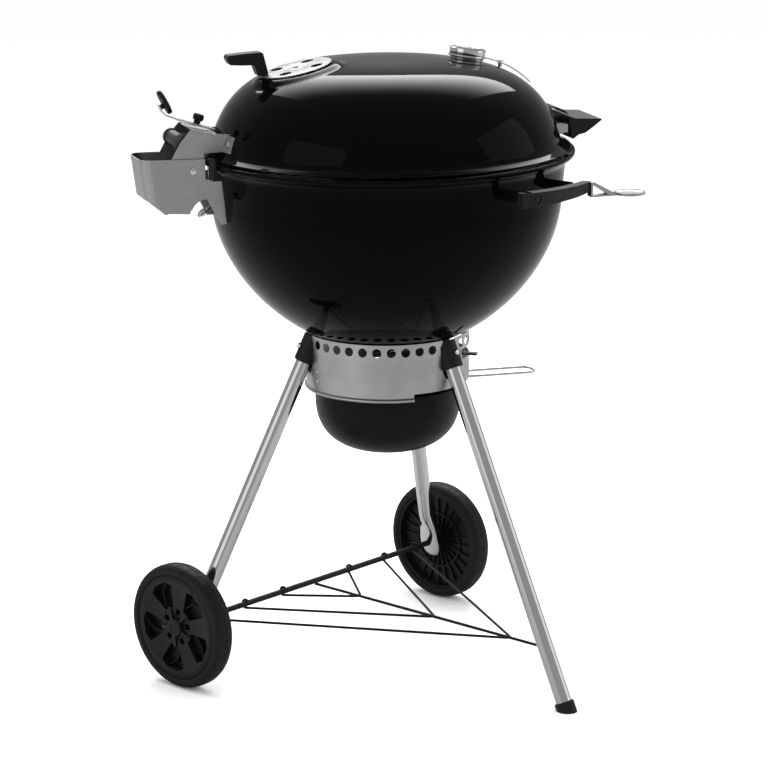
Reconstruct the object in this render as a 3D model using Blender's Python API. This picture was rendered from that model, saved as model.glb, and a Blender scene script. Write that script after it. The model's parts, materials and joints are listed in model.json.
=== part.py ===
"""Kettle charcoal grill: enamelled bowl and hinged lid on a three-legged stand.

Units are metres, +Z is up.  The kettle's front (lid handle, ash pail handle) faces -Y and the
lid hinge is at the rear, +Y.  The pieces are laid out around the kettle's own axis; the root
empty then moves them so that the origin is under the middle of the whole grill, on the ground.
"""
import math

import bmesh
import bpy
from mathutils import Matrix, Vector

# ---------------------------------------------------------------- driving dimensions
AXIS_X = -0.0253                 # where the kettle's axis stands, from the middle of the whole grill
AXIS_Y = -0.0346
ROUND = 40                       # facets round the bowl and lid

SHEET = 0.002                    # wall of the pressed bowl and lid
GAP = 0.0004                     # air between neighbours that would touch

BOWL_R = 0.2768                  # bowl: half width, depth and roundness of the pressing
BOWL_DEPTH = 0.2538
BOWL_ROUND = 1.86
BOWL_TOP_Z = 0.7772
RIM_R = 0.297                    # rolled lip of the bowl
RIM_Z = 0.8455

LID_R = 0.2862                   # lid: half width, height and squareness of the dome
LID_RISE = 0.2888
LID_SQUARE = 3.567
LID_BASE_Z = 0.696
LID_SKIRT_Z = 0.866              # below this the skirt flares out

LEG_FOOT_R = 0.3724              # where a leg's axis would meet the ground
LEG_SLOPE = 0.455                # inward metres for each metre up
LEG_TUBE_R = 0.0127
LEG_TOP_Z = 0.566
LEG_AZ = {"rear": 90.0, "right": -30.0, "left": -150.0}
COLLAR_LOW_Z = 0.512
COLLAR_HIGH_Z = 0.552
COLLAR_R = 0.0166

WHEEL_R = 0.1012
WHEEL_OUTBOARD = 0.028           # wheel centre outside the leg, along the axle
AXLE_R = 0.00475

RING_R = 0.1305                  # vented steel band under the bowl
RING_TOP_Z = 0.5575
RING_LOW_Z = 0.4655
RING_FRONT_Z = 0.4775
RING_HOLES = 36
RING_HOLE_R = 0.0068
RING_HOLE_Z = 0.5475

PAIL_R = 0.1165                  # ash pail
PAIL_DEPTH = 0.095
PAIL_ROUND = 2.7
PAIL_TOP_Z = 0.455

PIN_Y = 0.323                    # lid hinge pin
PIN_Z = 0.836
PIN_R = 0.003
HOUSING_HALF = 0.043
HOUSING_REAR_Y = 0.4045
CHEEK_HALF = 0.040
PLATE = 0.0015

DAMPER_Y = 0.1435                # top vent, behind the axis
DAMPER_TILT = 12.1
DAMPER_R = 0.0555
VENT_OFFSET = 0.0255             # the four holes sit at the corners of a square

GAUGE_Y = -0.134                 # thermometer, in front of the axis
GAUGE_TILT = 8.5
GAUGE_R = 0.0288
GAUGE_RISE = 0.0185              # how far its case stands off the lid

HANDLE_AZ = {"left": -148.5, "right": -31.5}
HANDLE_R = 0.338
HANDLE_Z = 0.812

GRATE_Z = 0.829
GRATE_R = 0.2810
INSERT_R = 0.152
FLAP_X = 0.190
COAL_GRATE_Z = 0.642
COAL_GRATE_R = 0.2200

# ---------------------------------------------------------------- finishes
FINISHES = {
    # name: (colour, roughness, metallic)
    "black_enamel": ((0.010, 0.010, 0.011), 0.10, 0.0),
    "chrome_tube": ((0.78, 0.78, 0.79), 0.12, 1.0),
    "brushed_steel": ((0.60, 0.60, 0.60), 0.35, 1.0),
    "aluminium": ((0.72, 0.72, 0.72), 0.40, 1.0),
    "black_nylon": ((0.030, 0.030, 0.031), 0.55, 0.0),
    "black_paint": ((0.015, 0.015, 0.016), 0.45, 0.0),
    "black_rubber": ((0.020, 0.020, 0.020), 0.75, 0.0),
    "dark_steel": ((0.16, 0.16, 0.17), 0.45, 1.0),
    "plated_wire": ((0.62, 0.62, 0.63), 0.28, 1.0),
    "clear_glass": ((0.90, 0.92, 0.92), 0.05, 0.0),
    "needle_red": ((0.45, 0.03, 0.02), 0.40, 0.0),
}


def finish(name):
    material = bpy.data.materials.get(name)
    if material is None:
        colour, roughness, metallic = FINISHES[name]
        material = bpy.data.materials.new(name)
        material.use_nodes = True
        shader = material.node_tree.nodes["Principled BSDF"]
        shader.inputs["Base Color"].default_value = (*colour, 1.0)
        shader.inputs["Roughness"].default_value = roughness
        shader.inputs["Metallic"].default_value = metallic
    return material


# ---------------------------------------------------------------- placing
def pivot(name, point, parent=None):
    """An empty on a joint's axis, which carries the pieces that move about it."""
    empty = bpy.data.objects.new(name, None)
    empty.empty_display_size = 0.02
    bpy.context.scene.collection.objects.link(empty)
    empty.matrix_world = Matrix.Translation(point)
    hang(empty, parent)
    return empty


def hang(child, parent):
    if parent is not None:
        bpy.context.view_layer.update()
        child.parent = parent
        child.matrix_parent_inverse = parent.matrix_world.inverted()


def frame_along(origin, z_axis, x_hint=(1.0, 0.0, 0.0)):
    """Matrix with its Z along z_axis and its X as near x_hint as it can be."""
    z = Vector(z_axis).normalized()
    x = Vector(x_hint)
    if abs(z.dot(x.normalized())) > 0.99:
        x = Vector((0.0, 1.0, 0.0))
    x = (x - z * x.dot(z)).normalized()
    y = z.cross(x)
    return Matrix.Translation(origin) @ Matrix((x, y, z)).transposed().to_4x4()


def polar(radius, azimuth, z):
    angle = math.radians(azimuth)
    return Vector((radius * math.cos(angle), radius * math.sin(angle), z))


# ---------------------------------------------------------------- shaping
def add_object(name, bm, colour, parent=None, matrix=None):
    if matrix is not None:
        bm.transform(matrix)
    bmesh.ops.remove_doubles(bm, verts=bm.verts, dist=1e-7)
    bmesh.ops.recalc_face_normals(bm, faces=bm.faces)
    mesh = bpy.data.meshes.new(name)
    bm.to_mesh(mesh)
    bm.free()
    mesh.shade_smooth()
    mesh.set_sharp_from_angle(angle=math.radians(35.0))
    mesh.materials.append(finish(colour))
    obj = bpy.data.objects.new(name, mesh)
    bpy.context.scene.collection.objects.link(obj)
    hang(obj, parent)
    return obj


def as_tool(obj):
    """Hide a cutter or a joined-on shape, which is only used by modifiers."""
    obj.hide_render = True
    obj.display_type = "WIRE"
    return obj


def combine(obj, tool, operation):
    modifier = obj.modifiers.new(tool.name, "BOOLEAN")
    modifier.operation = operation
    modifier.object = as_tool(tool)
    return obj


def turned(bm, outline, segments, start=0.0, sweep=360.0):
    """Turn a closed outline of (radius, height) points about Z; a part turn gets flat ends."""
    full = abs(sweep - 360.0) < 1e-6
    steps = segments if full else segments + 1
    rings = []
    for radius, height in outline:
        if radius < 1e-9:
            rings.append([bm.verts.new((0.0, 0.0, height))] * steps)
            continue
        ring = []
        for i in range(steps):
            point = polar(radius, start + sweep * i / segments, height)
            ring.append(bm.verts.new(point))
        rings.append(ring)
    count = len(outline)
    for j in range(count):
        low, high = rings[j], rings[(j + 1) % count]
        for i in range(segments):
            k = (i + 1) % steps
            corners = [low[i], low[k], high[k], high[i]]
            unique = list(dict.fromkeys(corners))
            if len(unique) > 2:
                bm.faces.new(unique)
    if not full:
        bm.faces.new(list(dict.fromkeys(ring[0] for ring in rings)))
        bm.faces.new(list(dict.fromkeys(ring[-1] for ring in rings)))


def extruded(bm, outline, low, high, axis="z"):
    """Extrude a flat outline.  axis z: points are (x, y); axis x: points are (y, z)."""
    def at(point, level):
        if axis == "z":
            return (point[0], point[1], level)
        return (level, point[0], point[1])
    bottom = [bm.verts.new(at(p, low)) for p in outline]
    top = [bm.verts.new(at(p, high)) for p in outline]
    bm.faces.new(bottom)
    bm.faces.new(top)
    for i in range(len(outline)):
        k = (i + 1) % len(outline)
        bm.faces.new((bottom[i], bottom[k], top[k], top[i]))


def boxed(bm, low, high):
    outline = [(low[0], low[1]), (high[0], low[1]), (high[0], high[1]), (low[0], high[1])]
    extruded(bm, outline, low[2], high[2])


def lofted(bm, sections):
    """Skin a list of equal closed loops and cap the two ends."""
    loops = [[bm.verts.new(p) for p in section] for section in sections]
    for first, second in zip(loops[:-1], loops[1:]):
        for i in range(len(first)):
            k = (i + 1) % len(first)
            bm.faces.new((first[i], first[k], second[k], second[i]))
    bm.faces.new(loops[0])
    bm.faces.new(loops[-1])


def rod(bm, points, radius, sides=8, closed=False):
    """A round bar along a path of points, mitred at each bend."""
    path = [Vector(p) for p in points]
    count = len(path)
    loops = []
    side = None
    for i, point in enumerate(path):
        if closed:
            before, after = path[i - 1], path[(i + 1) % count]
        else:
            before, after = path[max(i - 1, 0)], path[min(i + 1, count - 1)]
        into = (point - before).normalized() if point != before else (after - point).normalized()
        out = (after - point).normalized() if after != point else into
        along = (into + out).normalized()
        if side is None:
            hint = Vector((0.0, 0.0, 1.0)) if abs(along.z) < 0.9 else Vector((1.0, 0.0, 0.0))
            side = along.cross(hint).normalized()
        side = (side - along * side.dot(along)).normalized()
        up = along.cross(side)
        loop = []
        for k in range(sides):
            angle = 2.0 * math.pi * (k + 0.5) / sides
            loop.append(bm.verts.new(point + radius * (math.cos(angle) * side + math.sin(angle) * up)))
        loops.append(loop)
    pairs = list(zip(loops[:-1], loops[1:]))
    if closed:
        pairs.append((loops[-1], loops[0]))
    for first, second in pairs:
        for k in range(sides):
            m = (k + 1) % sides
            bm.faces.new((first[k], first[m], second[m], second[k]))
    if not closed:
        bm.faces.new(loops[0])
        bm.faces.new(loops[-1])


def make_turned(name, outline, segments, colour, parent=None, matrix=None, start=0.0, sweep=360.0):
    bm = bmesh.new()
    turned(bm, outline, segments, start, sweep)
    return add_object(name, bm, colour, parent, matrix)


def make_extruded(name, outline, low, high, colour, parent=None, matrix=None, axis="z"):
    bm = bmesh.new()
    extruded(bm, outline, low, high, axis)
    return add_object(name, bm, colour, parent, matrix)


def make_rod(name, points, radius, colour, parent=None, sides=8, closed=False):
    bm = bmesh.new()
    rod(bm, points, radius, sides, closed)
    return add_object(name, bm, colour, parent)


def cylinder_tool(name, centre, direction, radius, half_length, sides=16):
    outline = [(0.0, half_length), (radius, half_length), (radius, -half_length), (0.0, -half_length)]
    return as_tool(make_turned(name, outline, sides, "dark_steel", root, frame_along(centre, direction)))


def arc(centre, radius, first, last, steps):
    points = []
    for i in range(steps + 1):
        angle = math.radians(first + (last - first) * i / steps)
        points.append((centre[0] + radius * math.cos(angle), centre[1] + radius * math.sin(angle)))
    return points


# ---------------------------------------------------------------- pressed shapes
def squircle(half_width, height, power, base_z, down, steps, from_r=0.0):
    """Quarter profile of the pressing, from the pole (at from_r) out to its full width."""
    first = math.asin(min(1.0, (from_r / half_width) ** (power / 2.0)))
    points = []
    for i in range(steps + 1):
        angle = first + (math.pi / 2.0 - first) * i / steps
        radius = half_width * math.sin(angle) ** (2.0 / power)
        drop = height * max(0.0, math.cos(angle)) ** (2.0 / power)
        points.append((radius, base_z - drop if down else base_z + drop))
    return points


def bowl_z(radius, grow=0.0):
    """Height of the bowl's outer surface (or of one grown outward) at a radius."""
    reach = min(1.0, radius / (BOWL_R + grow)) ** BOWL_ROUND
    return BOWL_TOP_Z - (BOWL_DEPTH + grow) * (1.0 - reach) ** (1.0 / BOWL_ROUND)


def lid_z(radius):
    reach = min(1.0, radius / LID_R) ** LID_SQUARE
    return LID_BASE_Z + LID_RISE * (1.0 - reach) ** (1.0 / LID_SQUARE)


def lid_r(z):
    rise = min(1.0, (z - LID_BASE_Z) / LID_RISE) ** LID_SQUARE
    return LID_R * (1.0 - rise) ** (1.0 / LID_SQUARE)


def above(points, z):
    return [p for p in points if p[1] >= z]


# ---------------------------------------------------------------- clean start
for old in list(bpy.data.objects):
    bpy.data.objects.remove(old, do_unlink=True)

root = pivot("grill", (0.0, 0.0, 0.0))

# ---------------------------------------------------------------- bowl
SHAFT_HOLE_R = 0.0065
outer = squircle(BOWL_R, BOWL_DEPTH, BOWL_ROUND, BOWL_TOP_Z, True, 9, SHAFT_HOLE_R)
inner = squircle(BOWL_R - SHEET, BOWL_DEPTH - SHEET, BOWL_ROUND, BOWL_TOP_Z, True, 9, SHAFT_HOLE_R)
lip_outside = [(0.2790, 0.800), (0.2815, 0.822), (0.2850, 0.8305), (0.2905, 0.8348),
               (0.2956, 0.8385), (RIM_R, 0.8425), (0.2962, RIM_Z)]
lip_inside = [(0.2945, 0.8452), (0.2938, 0.8418), (0.2895, 0.8375), (0.2838, 0.8335),
              (0.2795, 0.8235), (0.2770, 0.800)]
bowl = make_turned("bowl", outer + lip_outside + lip_inside + inner[::-1], ROUND, "black_enamel", root)

VENT_AZ = (-90.0, 30.0, 150.0)


def bowl_strip(low_r, high_r, low, high, steps):
    """Outline that follows the bowl's bottom, from offset low to offset high above it."""
    radii = [low_r + (high_r - low_r) * i / steps for i in range(steps + 1)]
    under = [(r, bowl_z(r, -SHEET) + low) for r in radii]
    over = [(r, bowl_z(r, -SHEET) + high) for r in radii]
    return under + over[::-1]


for number, azimuth in enumerate(VENT_AZ):
    tool = make_turned(f"vent_cutter_{number}", bowl_strip(0.035, 0.100, -0.012, 0.010, 2), 3,
                       "dark_steel", root, None, azimuth - 9.0, 18.0)
    combine(bowl, tool, "DIFFERENCE")

bowl_space_outline = [(0.0, bowl_z(0.0, GAP))]
bowl_space_outline += squircle(BOWL_R + GAP, BOWL_DEPTH + GAP, BOWL_ROUND, BOWL_TOP_Z, True, 9, 0.01)
bowl_space_outline += [(0.2815 + GAP, 0.822), (0.0, 0.822)]
bowl_space = as_tool(make_turned("bowl_space", bowl_space_outline, ROUND, "dark_steel", root))


# ---------------------------------------------------------------- legs and their collars
def leg_point(azimuth, z):
    return polar(LEG_FOOT_R - LEG_SLOPE * z, azimuth, z)


def leg_direction(azimuth):
    return (leg_point(azimuth, 1.0) - leg_point(azimuth, 0.0)).normalized()


def leg_frame(azimuth, z):
    """Z up the leg, X sideways (round the kettle)."""
    sideways = polar(1.0, azimuth + 90.0, 0.0)
    return frame_along(leg_point(azimuth, z), leg_direction(azimuth), sideways)


LEG_STRETCH = math.hypot(1.0, LEG_SLOPE)     # length along the leg for each metre of height
AXLE_Z = WHEEL_R
axle_ends = [leg_point(LEG_AZ["rear"], AXLE_Z), leg_point(LEG_AZ["right"], AXLE_Z)]
axle_direction = (axle_ends[1] - axle_ends[0]).normalized()


def ellipse(frame, height, half_x, half_y, sides):
    points = []
    for i in range(sides):
        angle = 2.0 * math.pi * (i + 0.5) / sides
        points.append(frame @ Vector((half_x * math.cos(angle), half_y * math.sin(angle), height)))
    return points


def flat_frame(azimuth, z):
    """Z up the leg, X along the axle as nearly as the leg allows."""
    return frame_along(leg_point(azimuth, z), leg_direction(azimuth), axle_direction)


def make_leg(side, low_z, flattened):
    azimuth = LEG_AZ[side]
    frame = flat_frame(azimuth, 0.0) if flattened else leg_frame(azimuth, 0.0)
    top = LEG_TOP_Z * LEG_STRETCH
    low = low_z * LEG_STRETCH
    sections = []
    if flattened:
        for height, half_x, half_y in ((low, 0.0035, 0.0130), (low + 0.012, 0.0040, 0.0215),
                                       (low + 0.050, 0.0040, 0.0205), (low + 0.085, LEG_TUBE_R, LEG_TUBE_R)):
            sections.append(ellipse(frame, height, half_x, half_y, 16))
    else:
        sections.append(ellipse(frame, low, LEG_TUBE_R, LEG_TUBE_R, 16))
    sections.append(ellipse(frame, top, LEG_TUBE_R, LEG_TUBE_R, 16))
    bm = bmesh.new()
    lofted(bm, sections)
    leg = add_object(f"leg_{side}", bm, "chrome_tube", root)
    bore_low = low + 0.115 if flattened else low - 0.01
    bore_half = (top + 0.02 - bore_low) / 2.0
    bore_centre = frame @ Vector((0.0, 0.0, bore_low + bore_half))
    bore = cylinder_tool(f"leg_bore_{side}", bore_centre, leg_direction(azimuth), 0.0112, bore_half, 15)
    combine(leg, bore, "DIFFERENCE")
    combine(leg, bowl_space, "DIFFERENCE")
    if flattened:
        hole = cylinder_tool(f"axle_hole_{side}", leg_point(azimuth, AXLE_Z), axle_direction,
                             AXLE_R + GAP, 0.021, 10)
        combine(leg, hole, "DIFFERENCE")
    return leg


def make_collar(side):
    """Plastic collar round the top of a leg, against the bowl."""
    bore = LEG_TUBE_R + GAP
    high = (COLLAR_HIGH_Z - COLLAR_LOW_Z) * LEG_STRETCH
    outline = [(bore, high), (COLLAR_R, high), (COLLAR_R, 0.001), (COLLAR_R - 0.001, 0.0), (bore, 0.0)]
    collar = make_turned(f"leg_collar_{side}", outline, 20, "black_nylon", root,
                         leg_frame(LEG_AZ[side], COLLAR_LOW_Z))
    combine(collar, bowl_space, "DIFFERENCE")


for leg_side, leg_azimuth in LEG_AZ.items():
    make_leg(leg_side, 0.006 if leg_side == "left" else 0.078, leg_side != "left")
    make_collar(leg_side)
    outward = polar(1.0, leg_azimuth, 0.0)
    normal = (outward - leg_direction(leg_azimuth) * outward.dot(leg_direction(leg_azimuth))).normalized()
    seat = leg_point(leg_azimuth, 0.532) + normal * (COLLAR_R * 0.988 + GAP)
    screw = [(0.0, 0.0), (0.0045, 0.0), (0.0045, 0.0018), (0.0030, 0.0032), (0.0, 0.0032)]
    make_turned(f"leg_screw_{leg_side}", screw, 12, "plated_wire", root, frame_along(seat, normal))

# ---------------------------------------------------------------- foot cap
FOOT_R = 0.0158
cap_outline = [(0.0, -0.014), (FOOT_R, -0.014), (FOOT_R, 0.0130), (0.0148, 0.0145),
               (LEG_TUBE_R + GAP, 0.0145),
               (LEG_TUBE_R + GAP, 0.0062), (0.0, 0.0062)]
foot_cap = make_turned("foot_cap", cap_outline, 20, "black_rubber", root, leg_frame(LEG_AZ["left"], 0.0))
bm = bmesh.new()
boxed(bm, (-0.5, -0.5, -0.1), (0.5, 0.5, 0.0))
combine(foot_cap, add_object("ground_cutter", bm, "dark_steel", root), "DIFFERENCE")

# ---------------------------------------------------------------- axle and wheels
WHEEL_HALF = 0.0185
axle_reach = WHEEL_OUTBOARD + WHEEL_HALF
axle_span = (axle_ends[1] - axle_ends[0]).length
axle_middle = (axle_ends[0] + axle_ends[1]) / 2.0
axle_half = axle_span / 2.0 + axle_reach
axle_outline = [(0.0, axle_half), (AXLE_R, axle_half), (AXLE_R, -axle_half), (0.0, -axle_half)]
make_turned("axle", axle_outline, 16, "black_paint", root, frame_along(axle_middle, axle_direction))

BORE = AXLE_R + 0.0004
RIM_OUTLINE = [(BORE, 0.0165), (0.0165, 0.0165), (0.0175, 0.0120), (0.0300, 0.0095), (0.0700, 0.0125),
               (0.0780, 0.0165), (0.0850, 0.0165), (0.0850, -0.0165), (0.0800, -0.0165), (0.0790, 0.0070),
               (0.0700, 0.0060), (0.0300, 0.0040), (0.0180, 0.0040), (0.0165, -0.0165), (BORE, -0.0165)]
TYRE_OUTLINE = [(0.0855, 0.0160), (0.0870, 0.0178), (0.0930, WHEEL_HALF), (0.0985, 0.0160), (WHEEL_R, 0.0095),
                (WHEEL_R, -0.0095), (0.0985, -0.0160), (0.0930, -WHEEL_HALF), (0.0870, -0.0178),
                (0.0855, -0.0160)]
CAP_OUTLINE = [(AXLE_R + GAP, 0.0170), (0.0150, 0.0170), (0.0150, 0.0192), (0.0138, 0.0203), (0.0, 0.0203),
               (0.0, 0.0189), (AXLE_R + GAP, 0.0189)]


def make_wheel(side, end, outward):
    """A dished disc wheel on its own spin axis: rim and spokeless web, tyre, and a cap over the axle end."""
    centre = end + outward * WHEEL_OUTBOARD
    hub = pivot(f"wheel_{side}_hub", centre, root)
    frame = frame_along(centre, outward, (0.0, 0.0, 1.0))
    make_turned(f"wheel_{side}_rim", RIM_OUTLINE, 28, "black_nylon", hub, frame)
    make_turned(f"wheel_{side}_tyre", TYRE_OUTLINE, 28, "black_rubber", hub, frame)
    make_turned(f"wheel_{side}_cap", CAP_OUTLINE, 16, "black_nylon", hub, frame)


make_wheel("rear", axle_ends[0], -axle_direction)
make_wheel("right", axle_ends[1], axle_direction)

# ---------------------------------------------------------------- wire rack between the legs
WIRE_R = 0.0022
RACK_Z = AXLE_Z - AXLE_R - WIRE_R - GAP
rack_out = polar(1.0, LEG_AZ["left"], 0.0)
rack_start = Vector((axle_middle.x, axle_middle.y, RACK_Z))
spine_end = (leg_point(LEG_AZ["left"], RACK_Z) - rack_start).dot(rack_out) - LEG_TUBE_R * 1.1 - 0.0024
rack = make_rod("wire_rack", [rack_start - rack_out * 0.006, rack_start + rack_out * spine_end],
                WIRE_R * 1.2, "black_paint", root)
bm = bmesh.new()
for half_width, depth in ((0.080, 0.100), (0.168, 0.262), (0.245, 0.423)):
    apex = rack_start + rack_out * depth
    rod(bm, [rack_start - axle_direction * half_width, apex, rack_start + axle_direction * half_width],
        WIRE_R)
combine(rack, add_object("rack_vees", bm, "black_paint", root), "UNION")

# ---------------------------------------------------------------- vented band under the bowl
RING_SHEET = 0.0012
ROLL = 0.0028
LEDGE_Z = RING_LOW_Z + RING_SHEET        # the pail's flange rests here, round the rear half
ring_outline = [(RING_R, RING_TOP_Z), (RING_R, RING_LOW_Z + 0.005), (RING_R + ROLL, RING_LOW_Z + 0.004),
                (RING_R + ROLL, RING_LOW_Z + 0.0005), (RING_R, RING_LOW_Z), (PAIL_R + 0.0008, RING_LOW_Z),
                (PAIL_R + 0.0008, LEDGE_Z), (RING_R - RING_SHEET, LEDGE_Z), (RING_R - RING_SHEET, RING_TOP_Z)]
ring = make_turned("ash_band", ring_outline, 36, "brushed_steel", root)
bm = bmesh.new()
for i in range(RING_HOLES):
    hole_azimuth = 360.0 * (i + 0.5) / RING_HOLES
    radial = frame_along(polar(RING_R, hole_azimuth, RING_HOLE_Z), polar(1.0, hole_azimuth, 0.0),
                         (0.0, 0.0, 1.0))
    loops = [ellipse(radial, height, RING_HOLE_R, RING_HOLE_R, 8) for height in (-0.006, 0.006)]
    lofted(bm, loops)
combine(ring, add_object("band_holes", bm, "dark_steel", root), "DIFFERENCE")
bm = bmesh.new()
boxed(bm, (-0.2, -0.2, 0.40), (0.2, -0.0017, RING_FRONT_Z))
combine(ring, add_object("band_front_cutter", bm, "dark_steel", root), "DIFFERENCE")
LEVER_AZ = -128.5
LEVER_SWING = 55.0
slot_outline = [(0.120, 0.5175), (0.140, 0.5175), (0.140, 0.5335), (0.120, 0.5335)]
slot = make_turned("lever_slot_cutter", slot_outline, 12, "dark_steel", root, None, LEVER_AZ - 5.0,
                   LEVER_SWING + 10.0)
combine(ring, slot, "DIFFERENCE")
for leg_side, leg_azimuth in LEG_AZ.items():
    notch = cylinder_tool(f"band_notch_{leg_side}", leg_point(leg_azimuth, 0.53), leg_direction(leg_azimuth),
                          COLLAR_R + 0.0008, 0.06)
    combine(ring, notch, "DIFFERENCE")

# ---------------------------------------------------------------- ash pail and its wire handle
pail = pivot("pail_axis", (0.0, 0.0, PAIL_TOP_Z), root)
PAIL_SHEET = 0.0015
outer = squircle(PAIL_R, PAIL_DEPTH, PAIL_ROUND, PAIL_TOP_Z, True, 7)
inner = squircle(PAIL_R - PAIL_SHEET, PAIL_DEPTH - PAIL_SHEET, PAIL_ROUND, PAIL_TOP_Z, True, 7)
pail_lip = [(PAIL_R, LEDGE_Z + GAP), (0.1205, LEDGE_Z + GAP), (0.1205, LEDGE_Z + 0.0024),
            (PAIL_R - PAIL_SHEET, LEDGE_Z + 0.0024)]
make_turned("ash_pail", outer + pail_lip + inner[::-1], 32, "black_paint", pail)
PULL_Z = 0.4696
pull_path = [(-0.016, -0.1232, PULL_Z), (-0.019, -0.1500, PULL_Z), (-0.019, -0.2250, PULL_Z - 0.001),
             (-0.014, -0.2400, PULL_Z - 0.002), (-0.005, -0.2465, PULL_Z - 0.002),
             (0.005, -0.2465, PULL_Z - 0.002), (0.014, -0.2400, PULL_Z - 0.002),
             (0.019, -0.2250, PULL_Z - 0.001), (0.019, -0.1500, PULL_Z), (0.016, -0.1232, PULL_Z)]
make_rod("pail_handle", pull_path, 0.0024, "plated_wire", pail)

# ---------------------------------------------------------------- ash sweeper and vent lever
sweep = pivot("sweeper_axis", (0.0, 0.0, 0.530), root)
HUB_R = 0.017
hub_low = bowl_z(HUB_R, -SHEET) + 0.0012
hub_outline = [(0.0, hub_low + 0.012), (HUB_R, hub_low + 0.010), (HUB_R, hub_low), (0.0050, hub_low),
               (0.0050, 0.512), (0.0, 0.512)]
sweeper = make_turned("sweeper_blades", hub_outline, 20, "dark_steel", sweep)
for number, azimuth in enumerate(VENT_AZ):
    blade = make_turned(f"blade_{number}", bowl_strip(0.010, 0.112, 0.0014, 0.0032, 6), 4, "dark_steel",
                        sweep, None, azimuth - 50.0 - 13.0, 26.0)
    combine(sweeper, blade, "UNION")
lever_bar = [(0.004, 0.5095), (0.004, 0.5068), (0.060, 0.5125), (0.135, 0.5235), (0.152, 0.5235),
             (0.152, 0.5275), (0.134, 0.5275), (0.058, 0.5160), (0.010, 0.5095)]
matrix = Matrix.Rotation(math.radians(LEVER_AZ - 90.0), 4, "Z")
lever = make_extruded("vent_lever", lever_bar, -0.005, 0.005, "plated_wire", sweep, matrix, axis="x")
eye = cylinder_tool("lever_eye", (0.0, 0.0, 0.5083), (0.0, 0.0, 1.0), 0.0105, 0.0017, 16)
combine(lever, eye, "UNION")
shaft_room = cylinder_tool("lever_shaft_room", (0.0, 0.0, 0.51), (0.0, 0.0, 1.0), 0.0054, 0.02)
combine(lever, shaft_room, "DIFFERENCE")


# ---------------------------------------------------------------- grates
def make_grate(name, ring_high_r, z, wire, bars, colour, parent, inner_ring=None, x_range=None):
    """A round wire grate: one or two hoops and straight bars from edge to edge along Y."""
    hoop = [(ring_high_r - wire, z + wire), (ring_high_r, z + wire), (ring_high_r, z),
            (ring_high_r - wire, z)]
    grate = make_turned(name, hoop, ROUND, colour, parent)
    reach = ring_high_r - wire * 0.5
    tool = bmesh.new()
    for x in bars:
        end = math.sqrt(reach * reach - x * x)
        spans = [(-end, end)]
        if inner_ring is not None and abs(x) < inner_ring - wire * 0.5:
            stop = math.sqrt((inner_ring - wire * 0.5) ** 2 - x * x)
            spans = [(-end, -stop), (stop, end)]
        for first, last in spans:
            boxed(tool, (x - wire * 0.4, first, z + wire * 0.15), (x + wire * 0.4, last, z + wire * 0.85))
    combine(grate, add_object(f"{name}_bars", tool, colour, parent), "UNION")
    if inner_ring is not None:
        hoop = [(inner_ring - wire, z + wire), (inner_ring, z + wire), (inner_ring, z),
                (inner_ring - wire, z)]
        combine(grate, make_turned(f"{name}_hoop", hoop, 28, colour, parent), "UNION")
    return grate


coal_bars = [0.036 * (i - 5) for i in range(11)]
make_grate("charcoal_grate", COAL_GRATE_R, COAL_GRATE_Z, 0.006, coal_bars, "plated_wire", root)
main_bars = [0.0195 * (i - 9) for i in range(19)]
make_grate("cooking_grate", GRATE_R, GRATE_Z, 0.006, main_bars, "plated_wire", root, INSERT_R + 0.007)

insert_axis = pivot("insert_lift", (0.0, 0.0, GRATE_Z), root)
insert_bars = [0.0195 * (i - 7) for i in range(15)]
make_grate("grate_insert", INSERT_R, GRATE_Z, 0.005, insert_bars, "plated_wire", insert_axis)


def make_flap(side, sign):
    """Hinged edge of the cooking grate, lifted to add fuel."""
    hinge = pivot(f"flap_{side}_axis", (sign * FLAP_X, 0.0, GRATE_Z + 0.010), root)
    reach = GRATE_R - 0.008
    z = GRATE_Z + 0.0075
    wire = 0.005
    start = math.degrees(math.acos(FLAP_X / reach))
    middle = 0.0 if sign > 0 else 180.0
    hoop = [(reach - wire, z + wire), (reach, z + wire), (reach, z), (reach - wire, z)]
    flap = make_turned(f"grate_flap_{side}", hoop, 14, "plated_wire", hinge, None, middle - start,
                       2.0 * start)
    tool = bmesh.new()
    edge = math.sqrt((reach - wire * 0.5) ** 2 - FLAP_X ** 2)
    low, high = sorted((sign * (FLAP_X - 0.003), sign * (FLAP_X + 0.003)))
    boxed(tool, (low, -edge, z + 0.0005), (high, edge, z + wire - 0.0005))
    chord = add_object(f"flap_{side}_chord", tool, "plated_wire", hinge)
    combine(flap, chord, "UNION")
    tool = bmesh.new()
    for number in range(-5, 6):
        y = 0.028 * number
        far = math.sqrt((reach - wire * 0.5) ** 2 - y * y)
        low, high = sorted((sign * FLAP_X, sign * far))
        boxed(tool, (low, y - 0.002, z + 0.0008), (high, y + 0.002, z + wire - 0.0008))
    combine(flap, add_object(f"flap_{side}_bars", tool, "plated_wire", hinge), "UNION")


make_flap("left", -1.0)
make_flap("right", 1.0)


# ---------------------------------------------------------------- fuel baskets on the charcoal grate
def basket_outline(shrink, sign):
    inside_x = 0.085 + shrink
    reach = 0.190 - shrink
    start = math.degrees(math.acos(inside_x / reach))
    return [(sign * x, y) for x, y in arc((0.0, 0.0), reach, -start, start, 12)]


for side, sign in (("left", -1.0), ("right", 1.0)):
    base = COAL_GRATE_Z + 0.0065
    basket = make_extruded(f"fuel_basket_{side}", basket_outline(0.0, sign), base, base + 0.085,
                           "dark_steel", root)
    hollow = make_extruded(f"basket_{side}_cutter", basket_outline(0.0018, sign), base + 0.0018, base + 0.2,
                           "dark_steel", root)
    combine(basket, hollow, "DIFFERENCE")


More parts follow.
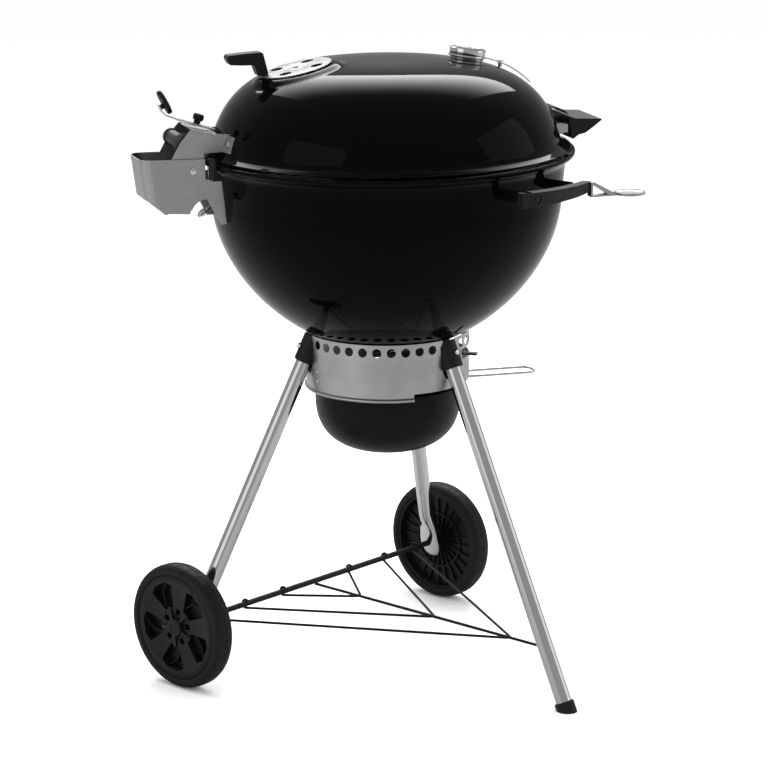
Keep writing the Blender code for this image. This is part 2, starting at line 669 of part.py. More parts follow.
# ---------------------------------------------------------------- bowl handles
def handle_matrix(side):
    """X round the kettle towards its front, Y outward, Z up, at the handle's middle."""
    azimuth = HANDLE_AZ[side]
    outward = polar(1.0, azimuth, 0.0)
    along = polar(1.0, azimuth + (90.0 if side == "left" else -90.0), 0.0)
    turn = Matrix((along, outward, Vector((0.0, 0.0, 1.0)))).transposed().to_4x4()
    return Matrix.Translation(polar(HANDLE_R, azimuth, HANDLE_Z)) @ turn


GRIP_HALF = 0.083
GRIP_OUT = [(-GRIP_HALF, 0.002), (-0.060, 0.0095), (-0.030, 0.0150), (0.0, 0.0165), (0.030, 0.0150),
            (0.060, 0.0095), (GRIP_HALF, 0.0015)]
GRIP_IN = [(GRIP_HALF - 0.004, -0.0090), (0.060, -0.0055), (0.030, -0.0010), (0.0, 0.0005), (-0.030, -0.0010),
           (-0.060, -0.0055), (-GRIP_HALF + 0.002, -0.0095)]
for side in HANDLE_AZ:
    matrix = handle_matrix(side)
    grip = make_extruded(f"bowl_grip_{side}", GRIP_OUT + GRIP_IN, -0.0105, 0.0105, "black_nylon", root,
                         matrix)
    bm = bmesh.new()
    boxed(bm, (-0.076, -0.02, 0.0), (-0.062, 0.006, 0.02))
    combine(grip, add_object(f"grip_notch_{side}", bm, "dark_steel", root, matrix), "DIFFERENCE")
    strap_out = [(-0.058, -0.075), (-0.058, -0.0125), (-0.054, -0.0095), (-0.030, -0.0050), (0.0, -0.0030),
                 (0.030, -0.0050), (0.054, -0.0095), (0.058, -0.0125), (0.058, -0.075)]
    strap_in = [(0.0555, -0.075), (0.0555, -0.0140), (0.052, -0.0120), (0.029, -0.0075), (0.0, -0.0055),
                (-0.029, -0.0075), (-0.052, -0.0120), (-0.0555, -0.0140), (-0.0555, -0.075)]
    strap = make_extruded(f"handle_strap_{side}", strap_out + strap_in, -0.008, 0.008, "black_enamel", root,
                          matrix)
    combine(strap, bowl_space, "DIFFERENCE")

# ---------------------------------------------------------------- rest plate on an arm, left handle
grip_end = handle_matrix("left") @ Vector((GRIP_HALF, -0.004, 0.0))
ARM_X = grip_end.x
ARM_Y = grip_end.y - 0.003
PLATE_R = 0.0245
plate_centre = Vector((ARM_X, ARM_Y - 0.066, 0.7975))
arm_outline = [(ARM_Y, 0.8175), (ARM_Y, 0.7950), (ARM_Y - 0.0405, 0.7950), (ARM_Y - 0.0405, 0.7985),
               (ARM_Y - 0.0060, 0.8175)]
arm = make_extruded("plate_arm", arm_outline, ARM_X - 0.008, ARM_X + 0.008, "brushed_steel", root, axis="x")
window = [(ARM_Y - 0.003, 0.8125), (ARM_Y - 0.003, 0.7975), (ARM_Y - 0.028, 0.7975), (ARM_Y - 0.006, 0.8125)]
combine(arm, make_extruded("arm_window_cutter", window, ARM_X - 0.02, ARM_X + 0.02, "dark_steel", root,
                           axis="x"),
        "DIFFERENCE")
plate_outline = [(0.0, 0.0), (PLATE_R - 0.002, 0.0), (PLATE_R - 0.0015, 0.0015), (PLATE_R, 0.0015),
                 (PLATE_R, -0.0025), (0.0, -0.0025)]
make_turned("rest_plate", plate_outline, 28, "brushed_steel", root, Matrix.Translation(plate_centre))

# ---------------------------------------------------------------- hinge housing, fixed to the bowl
HOUSING_TOP_Z = 0.8557
HOUSING_LEAN = 0.124             # the rear wall comes forward as it goes down
SIDE_PROFILE = [(0.3035, 0.8535), (HOUSING_REAR_Y + 0.002, HOUSING_TOP_Z), (0.3990, 0.7950), (0.3850, 0.7865),
                (0.3660, 0.7720), (0.3290, 0.7690), (0.3265, 0.7760)]
SIDE_PROFILE += arc((0.3025, 0.7665), 0.0245, 20.0, 92.0, 6)
SIDE_PROFILE += [(0.2985, 0.7850), (0.2810, 0.7500), (0.2600, 0.7510), (0.2600, 0.8215), (0.3035, 0.8215)]


def housing_plan(shrink):
    """U in plan with rounded rear corners, open towards the bowl."""
    half = HOUSING_HALF - shrink
    rear = HOUSING_REAR_Y - shrink
    corner = 0.020 - shrink
    right = arc((half - corner, rear - corner), corner, 0.0, 90.0, 5)
    left = arc((-half + corner, rear - corner), corner, 90.0, 180.0, 5)
    return [(half, 0.255)] + right + left + [(-half, 0.255)]


leaning = Matrix.Identity(4)
leaning[1][2] = HOUSING_LEAN
leaning[1][3] = -HOUSING_LEAN * HOUSING_TOP_Z
housing = make_extruded("hinge_housing", housing_plan(0.0) + housing_plan(PLATE)[::-1], 0.74, 0.88,
                        "brushed_steel", root, leaning)
profile = make_extruded("housing_profile", SIDE_PROFILE, -0.06, 0.06, "dark_steel", root, axis="x")
combine(housing, profile, "INTERSECT")
FLOOR_LINE = [(0.3962, 0.7950), (0.3850, 0.7878), (0.3660, 0.7735), (0.3292, 0.7705)]
floor_outline = FLOOR_LINE + [(y, z + PLATE) for y, z in FLOOR_LINE[::-1]]
floor = make_extruded("housing_floor", floor_outline, -HOUSING_HALF + 0.0005, HOUSING_HALF - 0.0005,
                      "brushed_steel", root, axis="x")
floor_plan = make_extruded("floor_plan", housing_plan(0.0007), 0.74, 0.88, "dark_steel", root, leaning)
combine(floor, floor_plan, "INTERSECT")
combine(housing, floor, "UNION")
tube_outline = arc((0.3660, 0.7765), 0.0062, 15.0, 375.0, 12)[:-1]
tube = make_extruded("housing_tube", tube_outline, -HOUSING_HALF - 0.0003, HOUSING_HALF + 0.0003,
                     "brushed_steel", root, axis="x")
combine(housing, tube, "UNION")
combine(housing, bowl_space, "DIFFERENCE")
pin_hole = cylinder_tool("pin_hole_cutter", (0.0, PIN_Y, PIN_Z), (1.0, 0.0, 0.0), PIN_R + GAP, 0.06, 12)
combine(housing, pin_hole, "DIFFERENCE")

PIN_HALF = HOUSING_HALF + 0.0006
pin_outline = [(0.0, PIN_HALF + 0.002), (0.0052, PIN_HALF + 0.001), (0.0052, PIN_HALF), (PIN_R, PIN_HALF),
               (PIN_R, -PIN_HALF), (0.0052, -PIN_HALF), (0.0052, -PIN_HALF - 0.001), (0.0, -PIN_HALF - 0.002)]
make_turned("hinge_pin", pin_outline, 12, "plated_wire", root,
            frame_along((0.0, PIN_Y, PIN_Z), (1.0, 0.0, 0.0)))

SPRING_TURNS = 6
SPRING_HALF = 0.024
spring_path = []
for i in range(SPRING_TURNS * 8 + 1):
    angle = 2.0 * math.pi * i / 8.0
    x = -SPRING_HALF + 2.0 * SPRING_HALF * i / (SPRING_TURNS * 8)
    spring_path.append((x, PIN_Y + 0.0085 * math.cos(angle), PIN_Z + 0.0085 * math.sin(angle)))
make_rod("hinge_spring", spring_path, 0.0014, "dark_steel", root, sides=4)

CLAMP_OUTLINE = [(0.3030, 0.8215), (0.3030, 0.8560), (0.3005, 0.8560), (0.2978, 0.8490), (0.2978, 0.8360),
                 (0.2925, 0.8320), (0.2870, 0.8285), (0.2870, 0.8215)]
CLAMP_START = 8.9
CLAMP_SWEEP = 3.4
make_turned("rim_clamp_left", CLAMP_OUTLINE, 1, "black_paint", root, None, 90.0 + CLAMP_START, CLAMP_SWEEP)
make_turned("rim_clamp_right", CLAMP_OUTLINE, 1, "black_paint", root, None, 90.0 - CLAMP_START - CLAMP_SWEEP,
            CLAMP_SWEEP)

screw_tilt = Vector((0.0, 0.80, -0.60))
screw_seat = Vector((0.0, 0.2860, 0.7720))
SCREW_R = 0.003
screw_outline = [(0.0, 0.0), (SCREW_R, 0.0), (SCREW_R, 0.010), (0.0055, 0.012), (0.0055, 0.019),
                 (SCREW_R, 0.021),
                 (SCREW_R, 0.025), (0.0, 0.025)]
wing_screw = make_turned("wing_screw", screw_outline, 12, "plated_wire", root,
                         frame_along(screw_seat, screw_tilt))
bm = bmesh.new()
boxed(bm, (-0.014, -0.0012, 0.0135), (0.014, 0.0012, 0.0215))
combine(wing_screw, add_object("screw_wings", bm, "plated_wire", root,
                               frame_along(screw_seat, screw_tilt)), "UNION")
combine(wing_screw, bowl_space, "DIFFERENCE")

# ---------------------------------------------------------------- lid and what is fixed to it
lid_axis = pivot("lid_axis", (0.0, PIN_Y, PIN_Z), root)
outer = above(squircle(LID_R, LID_RISE, LID_SQUARE, LID_BASE_Z, False, 15), LID_SKIRT_Z)
inner = above(squircle(LID_R - SHEET, LID_RISE - SHEET, LID_SQUARE, LID_BASE_Z, False, 15), LID_SKIRT_Z)
skirt = [(0.2758, 0.8610), (0.2800, 0.8562), (0.2855, 0.8530), (0.2908, 0.8508), (0.2912, 0.8494),
         (0.2895, 0.8492), (0.2848, 0.8506), (0.2787, 0.8542), (0.2742, 0.8592)]
lid = make_turned("lid", outer + skirt + inner[::-1], ROUND, "black_enamel", lid_axis)

lid_space_outline = [(0.0, LID_BASE_Z + LID_RISE + GAP)]
lid_space_outline += [(r + GAP, z + GAP) for r, z in outer[1:] + skirt[:5]] + [(0.0, 0.8494)]
lid_space = as_tool(make_turned("lid_space", lid_space_outline, ROUND, "dark_steel", root))


def tilted(y, tilt, lift):
    """Frame on the lid: Z leaning towards +Y by tilt degrees, origin lift above the surface."""
    lean = math.radians(tilt)
    normal = Vector((0.0, math.sin(lean), math.cos(lean)))
    return frame_along(Vector((0.0, y, lid_z(abs(y)))) + normal * lift, normal)


damper_frame = tilted(DAMPER_Y, DAMPER_TILT, 0.0018)
gauge_frame = tilted(GAUGE_Y, -GAUGE_TILT, 0.0)

bm = bmesh.new()
for sx in (-1.0, 1.0):
    for sy in (-1.0, 1.0):
        outline = arc((sx * VENT_OFFSET, sy * VENT_OFFSET), 0.0102, 0.0, 324.0, 9)
        extruded(bm, outline, -0.03, 0.01)
combine(lid, add_object("lid_vent_cutter", bm, "dark_steel", lid_axis, damper_frame), "DIFFERENCE")
combine(lid, cylinder_tool("lid_rivet_hole", damper_frame.translation, damper_frame.col[2][:3], 0.0034,
                           0.02, 10),
        "DIFFERENCE")
combine(lid, cylinder_tool("lid_gauge_hole", gauge_frame.translation, gauge_frame.col[2][:3], 0.0065, 0.02,
                           12),
        "DIFFERENCE")

# damper: a disc with four round holes, turned by its black tab
damper = pivot("damper_axis", damper_frame.translation, lid_axis)
disc = make_turned("damper_disc", [(0.0034, 0.0012), (DAMPER_R, 0.0012), (DAMPER_R, 0.0), (0.0034, 0.0)], 36,
                   "aluminium", damper, damper_frame)
bm = bmesh.new()
for sx in (-1.0, 1.0):
    for sy in (-1.0, 1.0):
        extruded(bm, arc((sx * VENT_OFFSET, sy * VENT_OFFSET), 0.0098, 0.0, 330.0, 11), -0.01, 0.01)
combine(disc, add_object("disc_hole_cutter", bm, "dark_steel", damper, damper_frame), "DIFFERENCE")
TAB_OUTLINE = [(0.1870, 0.9722), (0.2035, 0.9688), (0.2095, 0.9860), (0.2490, 0.9880), (0.2535, 1.0005),
               (0.2505, 1.0035), (0.1975, 1.0065), (0.1945, 1.0040)]
make_extruded("damper_tab", TAB_OUTLINE, 0.005, 0.029, "black_nylon", damper, axis="x")
rivet_outline = [(0.0, 0.0030), (0.0050, 0.0026), (0.0060, 0.0016), (0.0030, 0.0016), (0.0030, -0.008),
                 (0.0, -0.008)]
make_turned("damper_rivet", rivet_outline, 12, "plated_wire", lid_axis, damper_frame)

# thermometer
DIAL_Z = GAUGE_RISE - 0.0057
GLASS_Z = GAUGE_RISE - 0.0018
NEEDLE_Z = GAUGE_RISE - 0.0042
CASE_OUTLINE = [(0.0, -0.045), (0.0035, -0.045), (0.0035, 0.0014), (0.0262, 0.0014), (0.0262, 0.0045),
                (0.0292, 0.0052), (0.0292, 0.0068), (GAUGE_R, 0.0073), (GAUGE_R, GAUGE_RISE - 0.0007),
                (0.0280, GAUGE_RISE), (0.0262, GAUGE_RISE), (0.0262, DIAL_Z), (0.0, DIAL_Z)]
make_turned("gauge_case", CASE_OUTLINE, 20, "chrome_tube", lid_axis, gauge_frame)
glass_outline = [(0.0, GLASS_Z + 0.0012), (0.0257, GLASS_Z + 0.0012), (0.0257, GLASS_Z), (0.0, GLASS_Z)]
make_turned("gauge_glass", glass_outline, 24, "clear_glass", lid_axis, gauge_frame)
needle = pivot("needle_axis", gauge_frame @ Vector((0.0, 0.0, NEEDLE_Z)), lid_axis)
needle_outline = [(-0.0022, -0.006), (0.0022, -0.006), (0.0026, 0.0), (0.0007, 0.020), (-0.0007, 0.020),
                  (-0.0026, 0.0)]
make_extruded("gauge_needle", needle_outline, NEEDLE_Z, NEEDLE_Z + 0.0007, "needle_red", needle,
              gauge_frame @ Matrix.Rotation(math.radians(125.0), 4, "Z"))

CLIP_Y = [-0.1650 - 0.0125 * i for i in range(7)]
clip_low = [(y, lid_z(-y) + 0.0068 + 0.0012 * i / 6.0) for i, y in enumerate(CLIP_Y)]
clip_outline = clip_low + [(y, z + 0.0020) for y, z in clip_low[::-1]]
clip = make_extruded("gauge_clip", clip_outline, -0.014, 0.014, "chrome_tube", lid_axis, axis="x")
combine(clip, cylinder_tool("clip_post", (0.0, -0.1900, lid_z(0.19) + 0.0056), (0.0, 0.0, 1.0), 0.003,
                            0.0036, 10),
        "UNION")
combine(clip, cylinder_tool("clip_gauge_room", gauge_frame.translation, gauge_frame.col[2][:3], 0.0298,
                            0.05, 28),
        "DIFFERENCE")

# front handle
HANDLE_PROFILE = [(-0.2885, 0.8885), (-0.2997, 0.8834), (-0.3435, 0.8810), (-0.3445, 0.8795),
                  (-0.3163, 0.8597),
                  (-0.3046, 0.8575), (-0.2960, 0.8506), (-0.2911, 0.8537), (-0.2921, 0.8618),
                  (-0.2881, 0.8768)]
make_extruded("lid_handle", HANDLE_PROFILE, -0.050, 0.050, "black_nylon", lid_axis, axis="x")
SHIELD_TOP = [(-0.2570, 0.9030), (-0.2700, 0.9028), (-0.2800, 0.8985), (-0.2882, 0.8918)]
shield = make_extruded("handle_shield", SHIELD_TOP + [(y, z - 0.0015) for y, z in SHIELD_TOP[::-1]],
                       -0.046, 0.046,
                       "black_enamel", lid_axis, axis="x")
combine(shield, lid_space, "DIFFERENCE")
mount = make_extruded("handle_mount", [(-0.2500, 0.8600), (-0.2500, 0.8770), (-0.2760, 0.8770),
                                       (-0.2800, 0.8600)],
                      -0.047, 0.047, "brushed_steel", lid_axis, axis="x")
bm = bmesh.new()
for low, high in ((-0.047, -0.031), (0.031, 0.047)):
    boxed(bm, (low, -0.2875, 0.8622), (high, -0.2600, 0.8755))
combine(mount, add_object("mount_legs", bm, "brushed_steel", lid_axis), "UNION")
combine(mount, lid_space, "DIFFERENCE")

# ---------------------------------------------------------------- lid bracket in the hinge housing
CHEEK_PROFILE = [(0.3235, 0.9000), (0.3413, 0.8800), (0.3560, 0.8530), (0.3510, 0.8380), (0.3350, 0.8260),
                 (0.3180, 0.8240), (0.3075, 0.8320), (0.3045, 0.8450), (0.3045, 0.8620), (0.2600, 0.8620),
                 (0.2560, 0.8880), (0.2860, 0.8905)]
bracket = make_extruded("lid_bracket", CHEEK_PROFILE, -CHEEK_HALF, -CHEEK_HALF + PLATE, "brushed_steel",
                        lid_axis,
                        axis="x")
cap_line = [(0.2780, 0.8873), (0.3225, 0.8988)]
cap_outline = cap_line + [(y, z - PLATE) for y, z in cap_line[::-1]]
bm = bmesh.new()
extruded(bm, cap_outline, -CHEEK_HALF + 0.0004, CHEEK_HALF - 0.0004, "x")
combine(bracket, add_object("bracket_cap", bm, "brushed_steel", lid_axis), "UNION")
bm = bmesh.new()
extruded(bm, CHEEK_PROFILE, CHEEK_HALF - PLATE, CHEEK_HALF, "x")
combine(bracket, add_object("bracket_cheek", bm, "brushed_steel", lid_axis), "UNION")
ear_z = [0.8620 + 0.0060 * i for i in range(5)]
ear_outline = [(lid_r(z) - 0.003, z) for z in ear_z] + [(lid_r(z) + 0.0020, z) for z in ear_z[::-1]]
for number, start in enumerate((90.0 + 8.2, 90.0 - 13.4)):
    ear = make_turned(f"bracket_ear_{number}", ear_outline, 3, "brushed_steel", lid_axis, None, start, 5.2)
    combine(bracket, ear, "UNION")
combine(bracket, lid_space, "DIFFERENCE")
combine(bracket, pin_hole, "DIFFERENCE")

DRUM_Y, DRUM_Z = 0.3375, 0.8790
drum_outline = [(0.0, 0.034), (0.0135, 0.034), (0.0135, 0.030), (0.0110, 0.029), (0.0110, -0.029),
                (0.0135, -0.030),
                (0.0135, -0.034), (0.0, -0.034)]
make_turned("spring_drum", drum_outline, 18, "dark_steel", lid_axis,
            frame_along((0.0, DRUM_Y, DRUM_Z), (1.0, 0.0, 0.0)))

BAR_LINE = [(0.2785, 0.8915), (0.3400, 0.9110)]
bar_outline = BAR_LINE + [(y, z + 0.0020) for y, z in BAR_LINE[::-1]]
make_extruded("lock_bar", bar_outline, -0.012, 0.012, "brushed_steel", lid_axis, axis="x")

KNOB_Y = 0.3050
knob_slope = Vector((0.0, BAR_LINE[1][0] - BAR_LINE[0][0], BAR_LINE[1][1] - BAR_LINE[0][1])).normalized()
knob_up = Vector((0.0, -knob_slope.z, knob_slope.y))
knob_z = BAR_LINE[0][1] + (KNOB_Y - BAR_LINE[0][0]) * knob_slope.z / knob_slope.y + 0.0020
knob_seat = Vector((0.0, KNOB_Y, knob_z)) + knob_up * GAP
knob_axis = pivot("knob_axis", knob_seat, lid_axis)
knob_outline = [(0.0, 0.0), (0.0055, 0.0), (0.0060, 0.0045), (0.0085, 0.0060), (0.0088, 0.0130),
                (0.0070, 0.0152),
                (0.0, 0.0152)]
make_turned("tension_knob", knob_outline, 14, "black_nylon", knob_axis, frame_along(knob_seat, knob_up))

LEVER_PIN = Vector((0.0, 0.3425, 0.9130))
release = pivot("release_axis", LEVER_PIN, lid_axis)
STEM = [(0.3410, 0.9118), (0.3520, 0.9155), (0.3610, 0.9235), (0.3650, 0.9330)]
stem_outline = STEM + [(0.3637, 0.9338), (0.3598, 0.9248), (0.3512, 0.9173), (0.3410, 0.9137)]
make_extruded("release_lever", stem_outline, -0.006, 0.006, "plated_wire", release, axis="x")
pad_along = Vector((0.0, 0.452, 0.892)).normalized()
pad_back = Vector((0.0, pad_along.z, -pad_along.y))
pad_centre = Vector((0.0, 0.3550, 0.9374))
pad_frame = frame_along(pad_centre, pad_back)
bm = bmesh.new()
lofted(bm, [ellipse(pad_frame, h, 0.0145 * k, 0.0200 * k, 14) for h, k in ((-0.0035, 0.82), (-0.0015, 1.0),
                                                                       (0.0015, 1.0), (0.0035, 0.82))])
lever_pad = add_object("lever_pad", bm, "black_nylon", release)
boss_middle = pad_centre - pad_along * 0.004 + pad_back * 0.0051
combine(lever_pad, cylinder_tool("pad_boss", boss_middle, pad_back, 0.004, 0.0041, 12), "UNION")

root.location = (AXIS_X, AXIS_Y, 0.0)
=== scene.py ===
import json
import math

import bmesh
import bpy
from mathutils import Matrix, Vector


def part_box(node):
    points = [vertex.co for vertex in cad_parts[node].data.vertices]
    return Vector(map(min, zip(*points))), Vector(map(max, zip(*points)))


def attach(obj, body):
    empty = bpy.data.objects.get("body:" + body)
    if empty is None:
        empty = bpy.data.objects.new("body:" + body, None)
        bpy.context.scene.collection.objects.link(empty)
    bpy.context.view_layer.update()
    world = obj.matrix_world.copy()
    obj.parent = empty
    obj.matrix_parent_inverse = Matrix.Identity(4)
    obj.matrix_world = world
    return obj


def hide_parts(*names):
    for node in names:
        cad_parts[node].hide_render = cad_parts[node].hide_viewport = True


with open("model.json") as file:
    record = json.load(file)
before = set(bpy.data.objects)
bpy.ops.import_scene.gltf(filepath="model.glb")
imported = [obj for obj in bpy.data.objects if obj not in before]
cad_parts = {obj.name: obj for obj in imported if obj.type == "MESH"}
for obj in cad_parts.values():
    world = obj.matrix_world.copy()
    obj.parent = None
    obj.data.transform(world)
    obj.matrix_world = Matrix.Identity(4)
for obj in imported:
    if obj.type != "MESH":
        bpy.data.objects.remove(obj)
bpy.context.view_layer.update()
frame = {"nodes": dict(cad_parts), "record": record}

body_for = {node: body for body, nodes in frame["record"]["behaviour"]["bodies"].items() for node in nodes}

# The kettle's own upright axis: every size below is measured from it, and from the ground.
bowl_low, bowl_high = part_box("bowl")
KETTLE = Vector(((bowl_low[0] + bowl_high[0]) / 2.0, (bowl_low[1] + bowl_high[1]) / 2.0, 0.0))

# ------------------------------------------------------------------------------------------------
# Studio: a pale floor, soft light from above, a panel behind that the lid mirrors and one at each side.
# What the grill mirrors is darker than what the viewer sees, so the enamel stays black on white paper.
# The viewer stands off the hinge side, above the lid, with a long lens.
def placed(name, data):
    """A new object, put in the scene."""
    obj = bpy.data.objects.new(name, data)
    bpy.context.scene.collection.objects.link(obj)
    return obj


floor_bm = bmesh.new()
bmesh.ops.create_grid(floor_bm, x_segments=2, y_segments=2, size=30.0)
floor_mesh = bpy.data.meshes.new("studio_floor")
floor_bm.to_mesh(floor_mesh)
floor_bm.free()
placed("studio_floor", floor_mesh)
paper = bpy.data.materials.new("pale_paper")
paper.use_nodes = True
seen_or_mirrored = paper.node_tree.nodes.new("ShaderNodeLightPath")
paper_shade = paper.node_tree.nodes.new("ShaderNodeMix")
paper_shade.data_type = "RGBA"
paper_shade.inputs[6].default_value = (0.93, 0.93, 0.93, 1.0)
paper_shade.inputs[7].default_value = (0.38, 0.38, 0.38, 1.0)
paper_shader = paper.node_tree.nodes["Principled BSDF"]
paper.node_tree.links.new(seen_or_mirrored.outputs["Is Glossy Ray"], paper_shade.inputs[0])
paper.node_tree.links.new(paper_shade.outputs[2], paper_shader.inputs["Base Color"])
paper_shader.inputs["Roughness"].default_value = 0.9
paper_shader.inputs["Specular IOR Level"].default_value = 0.1
floor_mesh.materials.append(paper)

world = bpy.data.worlds.new("studio_air")
world.use_nodes = True
air = world.node_tree
air.nodes["Background"].inputs["Color"].default_value = (1.0, 1.0, 1.0, 1.0)
rays = air.nodes.new("ShaderNodeLightPath")
mirrored = air.nodes.new("ShaderNodeMapRange")
mirrored.inputs["To Min"].default_value = 1.06
mirrored.inputs["To Max"].default_value = 0.40
air.links.new(rays.outputs["Is Glossy Ray"], mirrored.inputs["Value"])
air.links.new(mirrored.outputs["Result"], air.nodes["Background"].inputs["Strength"])
bpy.context.scene.world = world
bpy.context.scene.view_settings.view_transform = "Standard"


def soft_panel(name, place, target, width, height, power, fades=False):
    """A panel of light; one that fades is brightest along its lower edge."""
    light = bpy.data.lights.new(name, "AREA")
    light.shape = "RECTANGLE"
    light.size = width
    light.size_y = height
    light.energy = power
    lamp = placed(name, light)
    aim = Vector(target) - Vector(place)
    lamp.matrix_world = Matrix.Translation(place) @ aim.to_track_quat("-Z", "Y").to_matrix().to_4x4()
    if fades:
        light.use_nodes = True
        tree = light.node_tree
        across = tree.nodes.new("ShaderNodeNewGeometry")
        height_of = tree.nodes.new("ShaderNodeSeparateXYZ")
        fall = tree.nodes.new("ShaderNodeMapRange")
        fall.interpolation_type = "SMOOTHSTEP"
        fall.inputs["To Min"].default_value = 2.4
        fall.inputs["To Max"].default_value = 0.0
        tree.links.new(across.outputs["Parametric"], height_of.inputs[0])
        tree.links.new(height_of.outputs["Y"], fall.inputs["Value"])
        tree.links.new(fall.outputs["Result"], tree.nodes["Emission"].inputs["Strength"])
    return lamp


soft_panel("overhead", (0.4, -0.2, 3.6), (0.0, 0.0, 0.0), 3.4, 3.4, 110.0).visible_glossy = False
soft_panel("lid_light", (1.95, -0.65, 3.1), (0.0, 0.0, 0.95), 3.2, 2.2, 70.0, True)
soft_panel("hinge_side", (-1.6, 3.6, 1.7), (0.0, 0.0, 0.7), 3.0, 3.2, 22.0)
soft_panel("cook_side", (-1.2, -3.8, 1.7), (0.0, 0.0, 0.7), 3.0, 3.2, 22.0)

camera_data = bpy.data.cameras.new("viewer")
camera_data.sensor_width = 36.0
camera_data.lens = 140.7
camera = placed("viewer", camera_data)
look = Vector((0.92547, -0.29180, -0.24156)).normalized()
right = look.cross(Vector((0.0, 0.0, 1.0))).normalized()
down = look.cross(right).normalized()
ROLL = -0.0081
level = math.cos(ROLL) * right - math.sin(ROLL) * down
upward = -(math.sin(ROLL) * right + math.cos(ROLL) * down)
turn = Matrix((level, upward, -look)).transposed().to_4x4()
camera.matrix_world = Matrix.Translation(KETTLE + Vector((-4.4478, 1.4087, 1.6256))) @ turn
bpy.context.scene.camera = camera


# ------------------------------------------------------------------------------------------------
# Bowl: one deep steel pressing with a rolled lip, porcelain enamelled black inside and out.
# Three air slots are punched in its bottom, round the sweeper's shaft.
def polar(radius, azimuth, z):
    angle = math.radians(azimuth)
    return Vector((radius * math.cos(angle), radius * math.sin(angle), z))


def along(origin, z_axis, hint=(1.0, 0.0, 0.0)):
    """A place whose Z runs along z_axis and whose X is as near hint as it can be."""
    z = Vector(z_axis).normalized()
    x = Vector(hint)
    if abs(z.dot(x.normalized())) > 0.99:
        x = Vector((0.0, 1.0, 0.0))
    x = (x - z * x.dot(z)).normalized()
    return Matrix.Translation(origin) @ Matrix((x, z.cross(x), z)).transposed().to_4x4()


def smooth_line(pairs, steps):
    """A smooth line through pairs of measures."""
    knots = [Vector(p) for p in pairs]
    line = []
    for i in range(len(knots) - 1):
        a, b = knots[max(i - 1, 0)], knots[i]
        c, d = knots[i + 1], knots[min(i + 2, len(knots) - 1)]
        for k in range(steps):
            t = k / steps
            line.append(0.5 * (2.0 * b + (c - a) * t + (2.0 * a - 5.0 * b + 4.0 * c - d) * t * t
                               + (3.0 * b - a - 3.0 * c + d) * t * t * t))
    return [(p.x, p.y) for p in line + knots[-1:]]


def spun(bm, profile, segments, matrix=None, closed=False, leave_out=None):
    """Spins a line of (radius, height) about Z; a closed line gives a solid."""
    rings = []
    for radius, height in profile:
        if radius < 1e-6:
            pole = bm.verts.new((0.0, 0.0, height))
            rings.append([pole] * segments)
        else:
            rings.append([bm.verts.new(polar(radius, 360.0 * i / segments, height)) for i in range(segments)])
    pairs = list(zip(range(len(rings) - 1), range(1, len(rings))))
    if closed:
        pairs.append((len(rings) - 1, 0))
    for j, (low, high) in enumerate(pairs):
        for i in range(segments):
            if leave_out is not None and leave_out(j, i):
                continue
            k = (i + 1) % segments
            corners = list(dict.fromkeys((rings[low][i], rings[low][k], rings[high][k], rings[high][i])))
            if len(corners) > 2:
                bm.faces.new(corners)
    if matrix is not None:
        bmesh.ops.transform(bm, matrix=matrix, verts=bm.verts)
    return bm


def walled(bm, rings, ends=True):
    """Walls from each ring of points to the next, and a face over each end."""
    for first, second in zip(rings[:-1], rings[1:]):
        for i in range(len(first)):
            k = (i + 1) % len(first)
            bm.faces.new((first[i], first[k], second[k], second[i]))
    if ends:
        bm.faces.new(rings[0])
        bm.faces.new(rings[-1])
    return bm


def joined(bm, part, matrix=None):
    """Adds a shape to another, after putting it in its place."""
    if matrix is not None:
        bmesh.ops.transform(part, matrix=matrix, verts=part.verts)
    grown = bpy.data.meshes.new("part")
    part.to_mesh(grown)
    part.free()
    bm.from_mesh(grown)
    bpy.data.meshes.remove(grown)
    return bm


def settled(obj):
    """Keeps the shape that the modifiers give, as plain mesh."""
    bpy.context.view_layer.update()
    shaped = bpy.data.meshes.new_from_object(obj.evaluated_get(bpy.context.evaluated_depsgraph_get()))
    obj.modifiers.clear()
    obj.data = shaped
    return obj


def fitted(name, bm, material, *stands_for, crisp=35.0, rounding=0.0, body=None, slot=None):
    """Makes the piece in its place on the grill, in its finish, riding on the body it belongs to."""
    bmesh.ops.translate(bm, vec=KETTLE, verts=bm.verts)
    bmesh.ops.remove_doubles(bm, verts=bm.verts, dist=1e-7)
    bmesh.ops.recalc_face_normals(bm, faces=bm.faces)
    mesh = bpy.data.meshes.new(name)
    bm.to_mesh(mesh)
    bm.free()
    mesh.shade_smooth()
    mesh.set_sharp_from_angle(angle=math.radians(crisp))
    mesh.materials.append(material)
    obj = placed(name, mesh)
    if rounding > 0.0:
        soften(obj, rounding)
    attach(obj, body or body_for[stands_for[0]])
    if stands_for:
        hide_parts(*stands_for)
    return obj


def soften(obj, width, segments=3):
    """Rounds the crisp edges of a piece."""
    bevel = obj.modifiers.new("rounded_edges", "BEVEL")
    bevel.width = width
    bevel.segments = segments
    bevel.limit_method = "ANGLE"
    bevel.angle_limit = math.radians(30.0)
    bevel.harden_normals = True


def effect_group(name, inputs, outputs):
    """An empty node group with its sockets, and its input and output nodes."""
    group = bpy.data.node_groups.new(name, "ShaderNodeTree")
    for label, kind, value in inputs:
        socket = group.interface.new_socket(label, in_out="INPUT", socket_type=kind)
        socket.default_value = value
    for label, kind in outputs:
        group.interface.new_socket(label, in_out="OUTPUT", socket_type=kind)
    return group, group.nodes.new("NodeGroupInput"), group.nodes.new("NodeGroupOutput")


